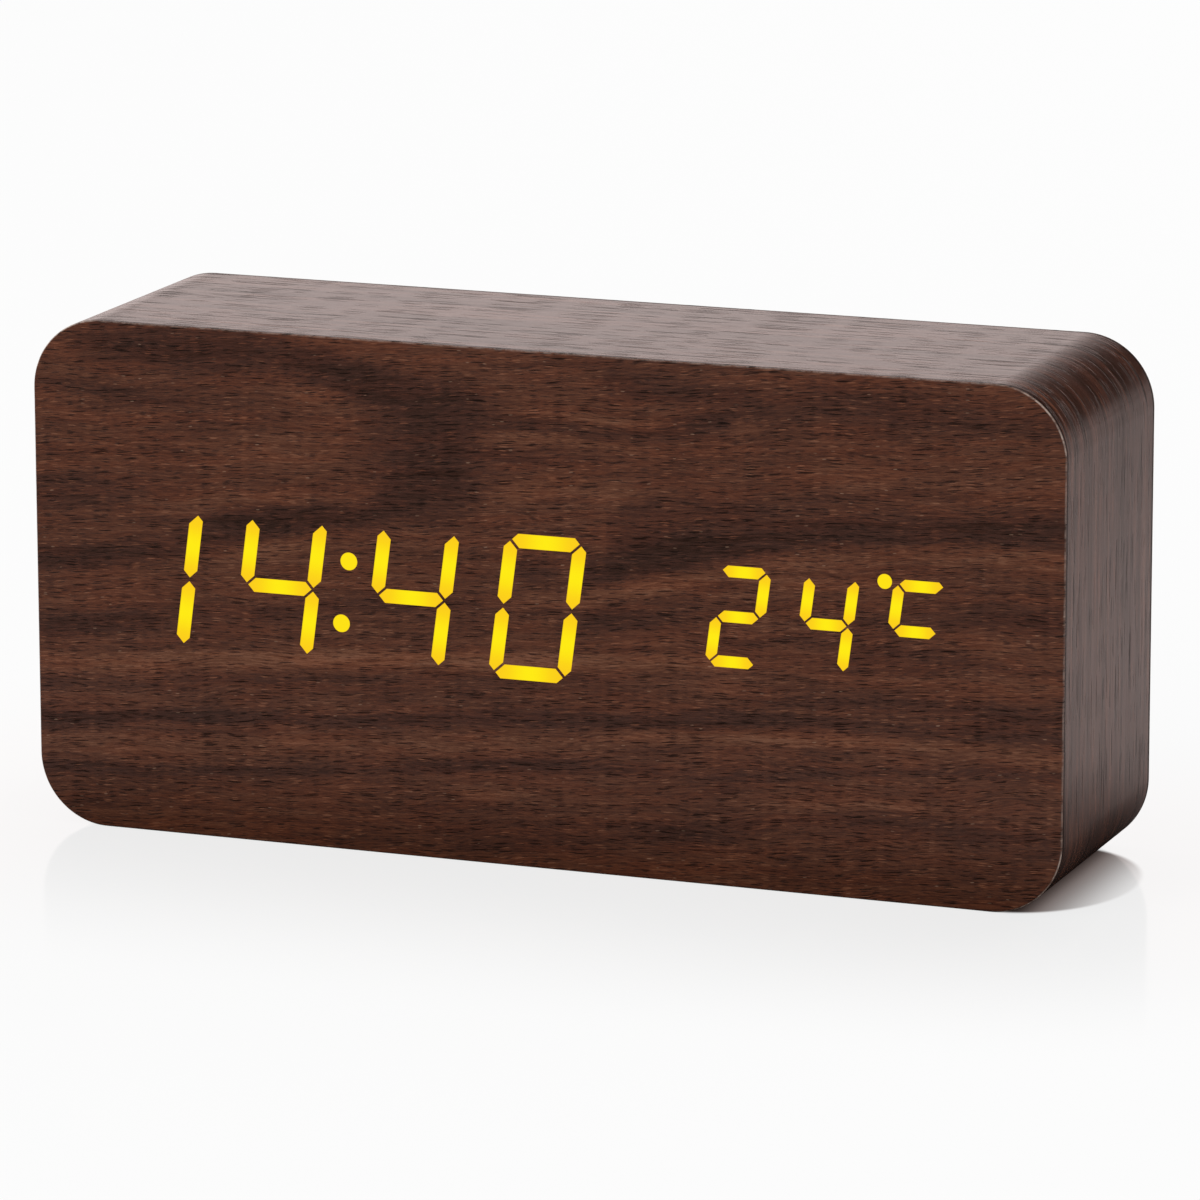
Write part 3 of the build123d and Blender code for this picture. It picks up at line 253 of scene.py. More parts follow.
DARK_BANDS = [
    (2.6, 4, [(-70, 69.2, 0.8, 0), (-60, 69.3, 1, 0.75), (-48, 69.2, 1, 0.8), (-39, 69.4, 1.1, 0.9),
        (-32, 68.2, 1.2, 0.95), (-26, 66.4, 1.4, 0.95), (-19, 64.6, 1.8, 0.9), (-13, 63.6, 2.2, 0.75),
        (-7, 63, 1.5, 0)]),
    (7, 6, [(-31, 57, 1, 0), (-25, 57, 3, 0.3), (-20, 57.6, 5, 0.65), (-15, 57.4, 5.5, 0.9),
        (-11, 57.8, 5, 0.75), (-8, 58.8, 4, 0.4), (-4, 59.5, 2, 0)]),
    (1.9, 2.2, [(-75, 38, 0.7, 0.95), (-67, 38.6, 0.8, 1), (-60, 39.7, 0.7, 0.85), (-53, 41.7, 1, 0.6),
        (-48, 43.8, 1.5, 0.8), (-41, 45.6, 1.6, 0.9), (-33, 46.6, 1.4, 0.8), (-27, 47.4, 1, 0.5),
        (-22, 49.8, 1.6, 0.85), (-16, 52, 2, 0.8), (-11, 53.5, 2, 0)]),
    (2.5, 2.5, [(-75, 47, 1.5, 0.5), (-68, 47.6, 1.5, 0.5), (-60, 48.5, 1.2, 0.25), (-54, 49, 1, 0)]),
    (1.8, 1.8, [(-75, 28.4, 1, 0.7), (-66, 29.2, 1.1, 0.75), (-57, 31, 1, 0.6), (-47, 32, 0.9, 0.45),
        (-38, 32.2, 0.8, 0.3), (-32, 32.4, 0.8, 0)]),
    (3.4, 1, [(6, 41.2, 0.3, 0), (9, 41.8, 0.6, 0.75), (13, 43.3, 1.2, 1), (20, 45.4, 1.6, 1),
        (28, 47.3, 1.4, 0.85), (35, 48.6, 1.1, 0.95), (40, 49.8, 0.9, 0.95), (47, 50.5, 1, 0.8),
        (56, 51.2, 1, 0.85), (64, 51.9, 1.3, 0.95), (75, 52.6, 1.4, 0.9)]),
    (2.6, 3, [(10, 47.5, 2, 0), (14, 48.8, 2.6, 0.55), (20, 49.8, 2.2, 0.5), (30, 51.4, 1.6, 0.45),
        (40, 53, 1.2, 0.4), (48, 53.6, 1, 0)]),
    (1.3, 1.3, [(18, 63, 0.4, 0), (21, 63.4, 0.7, 0.8), (25, 64, 0.8, 1), (29, 64.8, 0.5, 0)]),
    (2, 2.4, [(8, 69, 0.8, 0), (16, 68.4, 0.9, 0.5), (25, 67.4, 1, 0.6), (34, 66.8, 0.9, 0.5),
        (44, 68, 1, 0.5), (56, 67.4, 1.2, 0.55), (66, 67, 1.2, 0.5), (75, 67, 1, 0.4)]),
    (1.4, 1.4, [(-74, 63.2, 0.3, 0.5), (-66, 62.5, 0.3, 0.5), (-56, 61.5, 0.3, 0.4), (-50, 61, 0.3, 0)]),
    (1, 1.1, [(-75, 14.9, 0.7, 0.9), (-68, 15.3, 0.6, 0.85), (-60, 16.5, 0.5, 0.7), (-50, 17.2, 0.6, 0.75),
        (-40, 17.9, 0.5, 0.65), (-30, 18.5, 0.6, 0.75), (-22, 19, 0.6, 0.8), (-10, 20.3, 0.6, 0.75),
        (0, 21.1, 0.8, 0.75), (10, 21.8, 0.7, 0.7), (20, 22.8, 0.8, 0.75), (28, 23.6, 0.9, 0.85),
        (40, 24, 0.6, 0.6), (55, 24.4, 0.5, 0.55), (75, 24.6, 0.4, 0.5)]),
    (0.9, 0.9, [(-75, 7.8, 0.5, 0.7), (-66, 8.3, 0.5, 0.7), (-52, 9.1, 0.4, 0.55), (-40, 10.3, 0.4, 0.6),
        (-30, 11.1, 0.4, 0.55), (-20, 12.2, 0.4, 0.6), (-10, 13.5, 0.5, 0.7), (0, 14.6, 0.6, 0.75),
        (8, 14.9, 0.5, 0.6), (20, 15.1, 0.4, 0.45), (34, 16, 0.4, 0.5), (46, 17.6, 0.4, 0.6),
        (58, 18.7, 0.4, 0.6), (75, 19.5, 0.4, 0.55)]),
    (1.8, 1.6, [(6, 5.4, 0.5, 0), (15, 6.4, 0.8, 0.4), (22, 6.9, 1, 0.6), (28, 8, 0.7, 0.4),
        (38, 9.8, 0.6, 0.35), (50, 10.9, 0.9, 0.45), (60, 10.2, 1.2, 0.45), (75, 9.2, 1.2, 0.5)]),
    (1.8, 1.8, [(-70, 4, 0.8, 0.2), (-50, 3.3, 0.9, 0.2), (-30, 2.6, 1, 0.2), (-10, 2.8, 1.1, 0.4),
        (4, 4, 0.9, 0.4), (14, 4.6, 0.8, 0)]),
    (1.6, 1.6, [(-34, 34.6, 0.5, 0), (-28, 35, 0.6, 0.45), (-18, 36.2, 0.7, 0.55), (-8, 37.2, 0.5, 0)]),
    (1.4, 1.4, [(-6, 41.6, 0.4, 0), (0, 41.9, 0.9, 0.6), (4, 42, 0.5, 0)]),
    (1.5, 1.5, [(2, 34.4, 0.5, 0), (8, 35.4, 0.7, 0.55), (16, 36.2, 0.7, 0.5), (24, 37.4, 0.5, 0)]),
    (1.8, 1.8, [(44, 37.6, 0.6, 0), (50, 38.4, 0.9, 0.35), (60, 39.8, 1.2, 0.4), (75, 40.8, 1.2, 0.4)]),
    (0.9, 0.9, [(-10, 57, 0.3, 0), (-4, 57, 0.3, 0.5), (4, 57.3, 0.3, 0.5), (10, 57.8, 0.2, 0)]),
    (0.9, 0.9, [(-10, 61.3, 0.3, 0), (-2, 61.6, 0.3, 0.4), (10, 61.2, 0.4, 0.45), (20, 62, 0.6, 0.5),
        (28, 62.4, 0.3, 0)]),
    (1.6, 1.6, [(28, 25.8, 0.4, 0), (38, 26.6, 0.5, 0.45), (50, 27.2, 0.6, 0.5), (64, 27.4, 0.6, 0.5),
        (75, 27, 0.6, 0.5)]),
    (0.7, 0.7, [(-56, 22, 0.1, 0), (-48, 22.6, 0.2, 0.4), (-30, 24, 0.2, 0.45), (-14, 25.4, 0.2, 0.3),
        (4, 26.8, 0.2, 0.4), (20, 28, 0.1, 0)]),
    (1.5, 1.5, [(-75, 19.8, 0.5, 0.45), (-64, 20.6, 0.5, 0.4), (-50, 21.2, 0.4, 0)]),
    (1.2, 1.2, [(20, 32.8, 0.3, 0), (34, 34.6, 0.4, 0.4), (46, 35, 0.4, 0.3), (60, 34.2, 0.5, 0.4),
        (75, 34, 0.5, 0.45)]),
]
LIGHT_BANDS = [
    (1, 1.2, [(-75, 23.4, 0.5, 0.4), (-62, 23.8, 0.8, 0.7), (-54, 25, 0.9, 0.85), (-44, 25.8, 0.8, 1),
        (-35, 26.6, 0.8, 0.95), (-25, 27.5, 0.7, 0.8), (-15, 28, 0.8, 1), (-6, 28.6, 0.8, 0.95),
        (4, 29.4, 0.7, 1), (14, 30.2, 0.6, 0.8), (24, 31, 0.7, 0.85), (32, 31.4, 0.5, 0.2),
        (46, 30.4, 0.5, 0.4), (64, 30.8, 0.6, 0.5), (75, 31.4, 0.5, 0.4)]),
    (1.6, 1.6, [(-62, 46.2, 0.6, 0), (-52, 47.2, 0.8, 0.45), (-42, 48.6, 0.8, 0.55), (-33, 49.4, 0.8, 0)]),
    (1.2, 1.3, [(-47, 40.6, 0.5, 0), (-41, 41.4, 0.9, 0.6), (-34, 42.8, 0.9, 0.75), (-28, 43.6, 0.6, 0.4),
        (-18, 44.6, 0.8, 0.4), (-8, 46, 0.8, 0)]),
    (1, 1, [(-9, 59.4, 0.3, 0), (-2, 59.7, 0.5, 0.7), (6, 60.1, 0.4, 0.55), (14, 59.2, 0.5, 0.45),
        (20, 59, 0.4, 0)]),
    (1.6, 1.6, [(-8, 50.6, 0.8, 0), (-3, 52.4, 0.9, 0.55), (4, 54.2, 0.9, 0.55), (11, 53.6, 0.9, 0.5),
        (16, 53.6, 0.6, 0)]),
    (0.9, 0.9, [(-6, 63.4, 0.4, 0), (2, 63.8, 0.5, 0.5), (12, 62.9, 0.4, 0.45), (18, 62.6, 0.3, 0)]),
    (1.1, 0.9, [(-8, 36.2, 0.4, 0), (-2, 37.2, 0.6, 0.6), (6, 38.3, 0.7, 0.85), (13, 39.8, 0.7, 0.85),
        (20, 41.4, 0.7, 0.75), (27, 43.2, 0.7, 0.6), (34, 44.8, 0.7, 0.5), (44, 46.6, 0.9, 0.55),
        (54, 47.8, 0.9, 0.5), (64, 48.4, 1, 0.55), (75, 48.6, 1, 0.45)]),
    (1.2, 1.2, [(28, 42, 0.4, 0), (34, 42.4, 0.6, 0.5), (46, 43.2, 0.6, 0.4), (54, 44, 0.4, 0)]),
    (0.9, 1, [(6, 18.8, 0.4, 0), (14, 19.7, 0.5, 0.5), (26, 20.6, 0.6, 0.65), (36, 21.2, 0.6, 0.8),
        (43, 21.6, 0.6, 0.85), (52, 22, 0.5, 0.5), (64, 22, 0.6, 0.6), (75, 21.6, 0.6, 0.5)]),
    (1.4, 1.6, [(-72, 11.6, 0.7, 0.4), (-58, 12.4, 0.8, 0.5), (-46, 13.2, 0.9, 0.6), (-38, 14.2, 0.9, 0.7),
        (-28, 15, 0.8, 0.5), (-14, 16.2, 0.8, 0.55), (-2, 17.4, 0.7, 0.5), (10, 18.4, 0.5, 0)]),
    (1, 1, [(26, 12.4, 0.4, 0), (38, 12.6, 0.5, 0.4), (48, 13.2, 0.5, 0.65), (56, 13.8, 0.4, 0)]),
    (0.9, 0.9, [(-14, 9.6, 0.3, 0), (-7, 10.2, 0.5, 0.6), (1, 10.9, 0.3, 0)]),
    (3, 3.5, [(-75, 54, 1.5, 0), (-60, 56, 2.5, 0), (-42, 56, 2.5, 0.1), (-30, 58, 2.5, 0.15),
        (-24, 60, 1.5, 0)]),
    (1.2, 1.2, [(-40, 63.5, 0.5, 0), (-34, 63.6, 0.7, 0.35), (-26, 62.5, 0.6, 0)]),
    (1.2, 1.2, [(30, 57.5, 0.8, 0), (40, 58, 0.9, 0.2), (52, 58.4, 1, 0.25), (66, 57.5, 0.8, 0.2),
        (75, 57, 0.8, 0.2)]),
]
# Heights and half widths are stored in curves as shares of these, in millimetres
FIGURE_TOP = 80.0
WIDEST_HALF = 10.0


def band_mask(graph, along, across, upper, lower, points):
    """How strongly a place lies in a band of the figure."""
    low, high = points[0][0], points[-1][0]
    span = high - low
    share = graph.node("MapRange", {"Value": along, "From Min": low, "From Max": high}).outputs[0]

    def follow(column, unit):
        return graph.curve(share, [((row[0] - low) / span, row[column] / unit) for row in points])

    off = graph.math("MULTIPLY_ADD", follow(1, FIGURE_TOP), -FIGURE_TOP, across)
    half = graph.math("MULTIPLY", follow(2, WIDEST_HALF), WIDEST_HALF)
    above = graph.math("MULTIPLY", graph.math("SUBTRACT", off, half), 1 / upper)
    below = graph.math("MULTIPLY", graph.math("ADD", off, half), -1 / lower)
    reach = graph.ease(graph.math("MAXIMUM", above, below), -0.25, 1.0, 1.0, 0.0)
    return graph.math("MULTIPLY", reach, follow(3, 1.0))


def figure(graph, along, across, bands):
    """The strongest band at each place."""
    total = None
    for upper, lower, points in bands:
        mask = band_mask(graph, along, across, upper, lower, points)
        total = mask if total is None else graph.math("MAXIMUM", total, mask)
    return total


def walnut(name, seed, place, edge, figured=False, lean=0.07, calm=1.0, fine=1.0, stretch=1.0, marks=1.0,
           lift=0.13, streak=0.34, gloss=(0.17, 0.14)):
    """Dark walnut veneer. place gives along, across and through the sheet in millimetres, and edge
    gives how much of its painted edge highlight and of its glue line a place shows. lean tilts the
    grain, calm scales its waves and bands, fine its closeness and stretch the length of its marks,
    which marks scales in strength. lift and streak set the tone, and gloss the roughness and its change."""
    graph = Graph(name)
    along, across, through = place(graph)
    m = graph.math

    def grain_place(along_scale, across_scale, offset, base=None):
        rise = m("MULTIPLY", base or line, across_scale)
        return graph.joined(m("MULTIPLY", along, along_scale), rise, seed + offset)

    def grain(along_scale, across_scale, offset, detail, rough, base=None):
        return graph.noise(grain_place(along_scale, across_scale, offset, base), 1.0, detail, rough)

    # Slow waves carry the fibres and the figure with them
    wave = m("SUBTRACT", grain(0.04, 0.09, 0.0, 2.0, 0.5, across), 0.5)
    ripple = m("SUBTRACT", grain(0.22, 0.45, 7.3, 2.0, 0.5, across), 0.5)
    line = m("MULTIPLY_ADD", wave, 2.6 * calm, m("MULTIPLY_ADD", ripple, 0.35 * calm, across))
    line = m("MULTIPLY_ADD", along, -lean, line)

    long_fibre = grain(0.02, 0.9, 1.1, 3.0, 0.6)
    mid_fibre = grain(0.12 / stretch, 2.6 * fine, 2.7, 4.0, 0.65)
    thread = grain(0.5 / stretch, 6.5 * fine, 4.2, 4.0, 0.75)
    mottle = grain(0.05, 0.12, 9.9, 3.0, 0.55, across)
    tone = 0.5
    for part, weight in ((long_fibre, streak), (mid_fibre, 0.62), (thread, 1.3), (mottle, 0.34 * calm)):
        tone = graph.sway(part, weight, tone)

    if figured:
        loose = graph.sway(mid_fibre, 1.3, m("MULTIPLY_ADD", ripple, 0.9, across))
        dark = figure(graph, along, loose, DARK_BANDS)
        light = figure(graph, along, loose, LIGHT_BANDS)
        tone = m("MULTIPLY_ADD", dark, -0.3, m("MULTIPLY_ADD", light, 0.26, m("ADD", tone, 0.02)))
    else:
        # Slow dark and light bands along the grain
        bands = grain(0.008, 0.14, 5.5, 3.0, 0.6)
        tone = graph.sway(bands, 0.3 + 0.9 * calm, tone)

    # Pores: dark dashes of two sizes, and fewer warm and pale flecks
    def dashes(along_scale, across_scale, offset, size, share):
        reach, chance = graph.cells(grain_place(along_scale, across_scale, offset))
        shape = graph.ease(reach, size * 0.6, size, 1.0, 0.0)
        return m("MULTIPLY", shape, graph.ease(chance, 1 - share, 1.06 - share))

    pore = m("MAXIMUM", dashes(0.25 / stretch, 3.7 * fine, 3.3, 0.35, 0.5),
             m("MULTIPLY", dashes(0.55 / stretch, 5.6 * fine, 3.9, 0.4, 0.5), 0.7))
    fleck = dashes(0.42 / stretch, 4.6 * fine, 6.1, 0.36, 0.3)
    pale = dashes(0.8, 3.6, 6.9, 0.3, 0.05)

    tone = m("MULTIPLY_ADD", fleck, 0.36 * marks, m("ADD", tone, lift))
    colour = graph.ramp(m("MULTIPLY_ADD", pore, -0.55 * marks, tone), [
        (0.0, "1f110b"), (0.1, "2b1810"), (0.28, "342018"), (0.4, "40261e"), (0.5, "472b22"),
        (0.62, "543123"), (0.75, "5f3929"), (0.92, "6e4632"), (1.0, "7c523d"),
    ])
    # Warmer and cooler patches
    warm = graph.mix(1.0, colour, [1.1, 0.99, 0.93, 1.0], blend="MULTIPLY")
    colour = graph.mix(graph.ease(grain(0.09, 0.5, 12.7, 3.0, 0.6), 0.42, 0.62), colour, warm)
    colour = graph.mix(m("MULTIPLY", pale, 0.55), colour, rgb("a08069"))

    # Pores, darker fibres and the glue line shine less
    shine = m("MULTIPLY_ADD", pore, -0.16 * marks, 0.29)
    shine = graph.sway(mid_fibre, 0.4, shine)
    shine = graph.sway(long_fibre, 0.35 * streak, shine)
    rim, joint = edge(graph, through)
    # Painted highlight: a pale colour along the rounded outer edge, broken up by noise, stands in for light
    # caught by the edge
    broken = graph.ease(grain(0.5, 0.5, 8.0, 4.0, 0.7, across), 0.38, 0.62, 0.15, 1.0)
    colour = graph.mix(m("MULTIPLY", m("MULTIPLY", rim, broken), 0.95), colour, rgb("cdbaae"))
    colour = graph.mix(m("MULTIPLY", joint, 0.9), colour, rgb("150d0a"))
    shine = m("MULTIPLY", shine, m("MULTIPLY_ADD", joint, -0.95, 1.0))

    rough = m("MULTIPLY_ADD", mid_fibre, gloss[1], gloss[0])
    rough = m("MULTIPLY_ADD", pore, 0.25 * marks, rough)
    height = m("MULTIPLY_ADD", pore, -0.6, m("MULTIPLY_ADD", thread, 0.35, m("MULTIPLY", mid_fibre, 0.5)))
    return graph.surface(
        base_color=colour, roughness=rough, specular_ior_level=m("MAXIMUM", shine, 0.02),
        normal=graph.bump(height, 0.00006, 0.5),
    )


def front_place(graph):
    x, y, z = graph.millimetres()
    return x, z, y


def rear_place(graph):
    x, y, z = graph.millimetres()
    return graph.math("MULTIPLY", x, -1.0), z, y


def band_place(graph):
    uv = graph.node("UVMap", uv_map="grain").outputs[0]
    along, across, _ = graph.parts(uv)
    _, y, _ = graph.millimetres()
    return along, across, y


def front_highlight_and_glue_line(graph, through):
    """A painted highlight on the round edge, and the dark glue line where the sheet meets the band."""
    m = graph.math
    normal = graph.parts(graph.node("TexCoord").outputs["Normal"])
    facing = m("ABSOLUTE", normal[1])
    rim = graph.ease(facing, 0.7, 0.995, 1.0, 0.0)
    rim = m("MULTIPLY", rim, graph.ease(facing, 0.02, 0.3, 0.2, 1.0))
    # The corners catch more light than the straight edges
    corner = m("ABSOLUTE", m("MULTIPLY", normal[0], normal[2]))
    rim = m("MULTIPLY", rim, graph.ease(corner, 0.01, 0.16, 0.3, 1.0))
    depth = m("ABSOLUTE", m("SUBTRACT", m("ABSOLUTE", through), SHEET_BACK))
    return rim, graph.ease(depth, 0.12, 0.3, 1.0, 0.0)


def band_edge(graph, through):
    """No painted edge highlight, and the dark glue lines along both edges of the band."""
    depth = graph.math("SUBTRACT", SHEET_BACK, graph.math("ABSOLUTE", through))
    return graph.math("MULTIPLY", depth, 0.0), graph.ease(depth, 0.16, 0.5, 1.0, 0.0)


# Other finishes

def light_bars(name):
    """Yellow light through thin veneer: brightest in the middle of a bar, deeper at its ends."""
    graph = Graph(name)
    m = graph.math
    uv = graph.node("UVMap", uv_map="bar").outputs[0]
    along, inward, _ = graph.parts(uv)
    x, _, z = graph.millimetres()
    grain = graph.noise(graph.joined(m("MULTIPLY", x, 2.0), m("MULTIPLY", z, 6.0), 3.0), 1.0, 3.0, 0.7)
    glow = graph.ease(m("ABSOLUTE", along), 0.0, 0.95, 1.0, 0.0)
    glow = graph.sway(grain, 0.3, glow)
    colour = graph.ramp(glow, [(0.0, "fcce14"), (0.3, "fdd60f"), (0.65, "fee20b"), (1.0, "ffec09")])
    rim = graph.ease(inward, 0.0, 0.9, 1.0, 0.0)
    colour = graph.mix(m("MULTIPLY", rim, 0.3), colour, rgb("f2ae18"))
    return graph.surface(base_color=rgb("3d2f0a"), roughness=0.5, specular_ior_level=0.1,
                         emission_color=colour, emission_strength=0.96)


def moulded(name, dark, light, rough, bump=0.00003, scale=4.0):
    """Moulded plastic with a fine spark texture and a slow change of tone."""
    graph = Graph(name)
    m = graph.math
    place = graph.joined(*graph.millimetres())
    slow = graph.noise(place, 0.12, 2.0, 0.5)
    fine = graph.noise(place, scale, 3.0, 0.7)
    tint = graph.sway(fine, SPARK, graph.sway(slow, 0.5, 0.5))
    return graph.surface(
        base_color=graph.mix(graph.ease(tint, 0.2, 0.8), rgb(dark), rgb(light)),
        roughness=m("MULTIPLY_ADD", fine, 0.2, rough - 0.1), specular_ior_level=0.4,
        normal=graph.bump(fine, bump, 0.6),
    )


def metal(name, dark, light, rough, along=(0.3, 0.3, 6.0)):
    """Rolled or plated metal: fine lines along the sheet and dull patches."""
    graph = Graph(name)
    m = graph.math
    x, y, z = graph.millimetres()
    stretched = [m("MULTIPLY", value, scale) for value, scale in zip((x, y, z), along)]
    lines = graph.noise(graph.joined(*stretched), 1.0, 3.0, 0.65)
    patch = graph.noise(graph.joined(x, y, z), 0.35, 3.0, 0.6)
    tone = graph.sway(lines, 0.6, patch)
    return graph.surface(
        base_color=graph.mix(graph.ease(tone, 0.25, 0.8), rgb(dark), rgb(light)), metallic=1.0,
        roughness=m("MULTIPLY_ADD", patch, 0.3, rough - 0.15),
        normal=graph.bump(lines, 0.00002, 0.5),
    )


def fibre_board(name):
    graph = Graph(name)
    m = graph.math
    place = graph.joined(*graph.millimetres())
    flakes = graph.noise(place, 2.2, 5.0, 0.75)
    spread = graph.node("VectorMath", {0: place, "Scale": 1.4}, operation="SCALE").outputs[0]
    _, chance = graph.cells(spread)
    tone = graph.sway(chance, 0.3, flakes)
    return graph.surface(
        base_color=graph.ramp(tone, [(0.2, "7c6347"), (0.5, "a58863"), (0.8, "c4a880")]),
        roughness=0.85, specular_ior_level=0.2, normal=graph.bump(flakes, 0.00012, 0.8),
    )


def circuit_board(name):
    """Green lacquer over copper tracks."""
    graph = Graph(name)
    m = graph.math
    x, y, z = graph.millimetres()
    cell = graph.node("TexBrick", {
        "Vector": graph.joined(x, z, 0.0), "Scale": 0.42, "Mortar Size": 0.035, "Mortar Smooth": 0.1,
        "Brick Width": 0.9, "Row Height": 0.34,
    })
    track = m("SUBTRACT", 1.0, cell.outputs["Fac"])
    weave = graph.noise(graph.joined(x, y, z), 1.6, 2.0, 0.5)
    colour = graph.mix(track, rgb("0e3f24"), rgb("17603a"))
    colour = graph.mix(m("MULTIPLY", weave, 0.35), colour, rgb("0b3420"))
    return graph.surface(base_color=colour, roughness=m("MULTIPLY_ADD", weave, 0.12, 0.22),
                         specular_ior_level=0.5, normal=graph.bump(track, 0.00003, 0.6))


def ribbon(name):
    graph = Graph(name)
    m = graph.math
    x, y, z = graph.millimetres()
    strands = m("PINGPONG", m("MULTIPLY", x, 1 / STRAND_HALF_PITCH), 1.0)
    stain = graph.noise(graph.joined(x, y, z), 0.5, 3.0, 0.6)
    colour = graph.mix(graph.ease(strands, 0.1, 0.9), rgb("5b5e61"), rgb("8f9295"))
    return graph.surface(base_color=graph.mix(m("MULTIPLY", stain, 0.3), colour, rgb("6f7274")),
                         roughness=m("MULTIPLY_ADD", stain, 0.1, 0.42), specular_ior_level=0.4,
                         normal=graph.bump(strands, 0.0001, 0.7))


def led_package(name):
    graph = Graph(name)
    m = graph.math
    x, y, z = graph.millimetres()
    depth = graph.ease(graph.noise(graph.joined(x, y, z), 1.2, 2.0, 0.5), 0.3, 0.7)
    return graph.surface(base_color=graph.mix(depth, rgb("e8dca2"), rgb("f4eed0")),
                         roughness=m("MULTIPLY_ADD", depth, 0.12, 0.18), specular_ior_level=0.5)


def cell_jacket(name):
    """A printed jacket: dark body, copper-coloured band at the positive end, a thin pale ring, and
    bare metal where the map's second coordinate says so."""
    graph = Graph(name)
    m = graph.math
    uv = graph.node("UVMap", uv_map="jacket").outputs[0]
    along, around, _ = graph.parts(uv)
    place = graph.joined(m("MULTIPLY", along, 0.3), m("MULTIPLY", around, 2.5), 1.0)
    scuff = graph.noise(place, 1.0, 4.0, 0.7)
    band = graph.ease(along, COPPER_FROM, COPPER_FROM + 0.05)
    ring = m("MULTIPLY", graph.ease(along, RING_FROM, RING_FROM + 0.05),
             graph.ease(along, RING_TO, RING_TO + 0.05, 1.0, 0.0))
    body = graph.mix(m("MULTIPLY", scuff, 0.5), rgb("1b1d21"), rgb("2c2f35"))
    colour = graph.mix(band, body, graph.mix(m("MULTIPLY", scuff, 0.5), rgb("a86a35"), rgb("bd8048")))
    colour = graph.mix(ring, colour, rgb("d8d5cc"))
    bare = graph.ease(around, BARE - 0.5, BARE - 0.4)
    colour = graph.mix(bare, colour, graph.mix(scuff, rgb("a9a79f"), rgb("d2cfc6")))
    return graph.surface(base_color=colour, roughness=m("MULTIPLY_ADD", scuff, 0.14, 0.22),
                         specular_ior_level=0.5, metallic=m("MAXIMUM", bare, m("MULTIPLY", band, 0.5)))


def wire(name, dark, light):
    graph = Graph(name)
    m = graph.math
    place = graph.joined(*graph.millimetres())
    stain = graph.noise(place, 0.8, 3.0, 0.6)
    return graph.surface(base_color=graph.mix(stain, rgb(dark), rgb(light)),
                         roughness=m("MULTIPLY_ADD", stain, 0.15, 0.38), specular_ior_level=0.4,
                         normal=graph.bump(stain, 0.00003, 0.5))


# Each finish, and the settings of every slot that has it
MAKERS = [
    (walnut, {
        "walnut_front": dict(seed=0.0, place=front_place, edge=front_highlight_and_glue_line, figured=True),
        "walnut_band": dict(seed=31.0, place=band_place, edge=band_edge, lean=0.0, calm=0.12, fine=0.5,
                            stretch=3.2, marks=0.7, lift=-0.11, streak=1.5, gloss=(0.16, 0.03)),
        "walnut_rear": dict(seed=57.0, place=rear_place, edge=front_highlight_and_glue_line, lean=0.04),
    }),
    (fibre_board, {"fibre_board": {}}),
    (light_bars, {"lit_yellow": {}}),
    (circuit_board, {"circuit_board": {}}),
    (led_package, {"led_package": {}}),
    (ribbon, {"ribbon_grey": {}}),
    (cell_jacket, {"cell_jacket": {}}),
    (moulded, {
        "milky_film": dict(dark="c9c9c4", light="dcdcd8", rough=0.45, scale=1.5),
        "white_moulding": dict(dark="d9d9d5", light="ededea", rough=0.4),
        "chip_black": dict(dark="161616", light="262626", rough=0.62, scale=7.0),
        "socket_cream": dict(dark="cdc3a0", light="ded6b8", rough=0.42),
        "capacitor_sleeve": dict(dark="10182c", light="1b2744", rough=0.3),
        "switch_black": dict(dark="1a1a1a", light="2a2a2a", rough=0.5),
        "inlet_insert": dict(dark="121212", light="202020", rough=0.45),
        "buzzer_black": dict(dark="151515", light="242424", rough=0.48),
        "bead_resin": dict(dark="231d18", light="3a3028", rough=0.25),
        "cover_black": dict(dark="1b1a1a", light="282726", rough=0.58, bump=0.00006, scale=5.0),
        "door_black": dict(dark="1c1b1b", light="292827", rough=0.56, bump=0.00006, scale=5.0),
        "button_black": dict(dark="1d1c1c", light="2d2b2a", rough=0.42, scale=6.0),
        "plunger_black": dict(dark="1a1a1a", light="292929", rough=0.45),
    }),
    (metal, {
        "zinc_screw": dict(dark="8f8f8a", light="c4c4bf", rough=0.34),
        "can_metal": dict(dark="9c9c9a", light="d0d0cc", rough=0.24, along=(5.0, 5.0, 0.4)),
        "inlet_metal": dict(dark="8b8c8f", light="c9cacc", rough=0.27, along=(0.4, 5.0, 5.0)),
        "black_screw": dict(dark="1c1c1d", light="333335", rough=0.38),
        "nickel_plate": dict(dark="a7a59c", light="d8d6cd", rough=0.22, along=(0.4, 3.0, 5.0)),
    }),
    (wire, {
        "lead_red": dict(dark="8c1512", light="b32420"),
        "lead_black": dict(dark="151515", light="262626"),
    }),
]
settings_of = {slot: (make, settings) for make, slots in MAKERS for slot, settings in slots.items()}
finishes = {}
for entry in frame["record"]["materials"]:
    make, settings = settings_of[entry["slot"]]
    finishes[entry["slot"]] = make(entry["slot"], **settings)
for node in frame["nodes"].values():
    for place in node.material_slots:
        place.material = finishes[place.material.name.split(".")[0]]


# Meshes

def add(name, data):
    """A new object in the scene."""
    made = bpy.data.objects.new(name, data)
    bpy.context.scene.collection.objects.link(made)
    return made


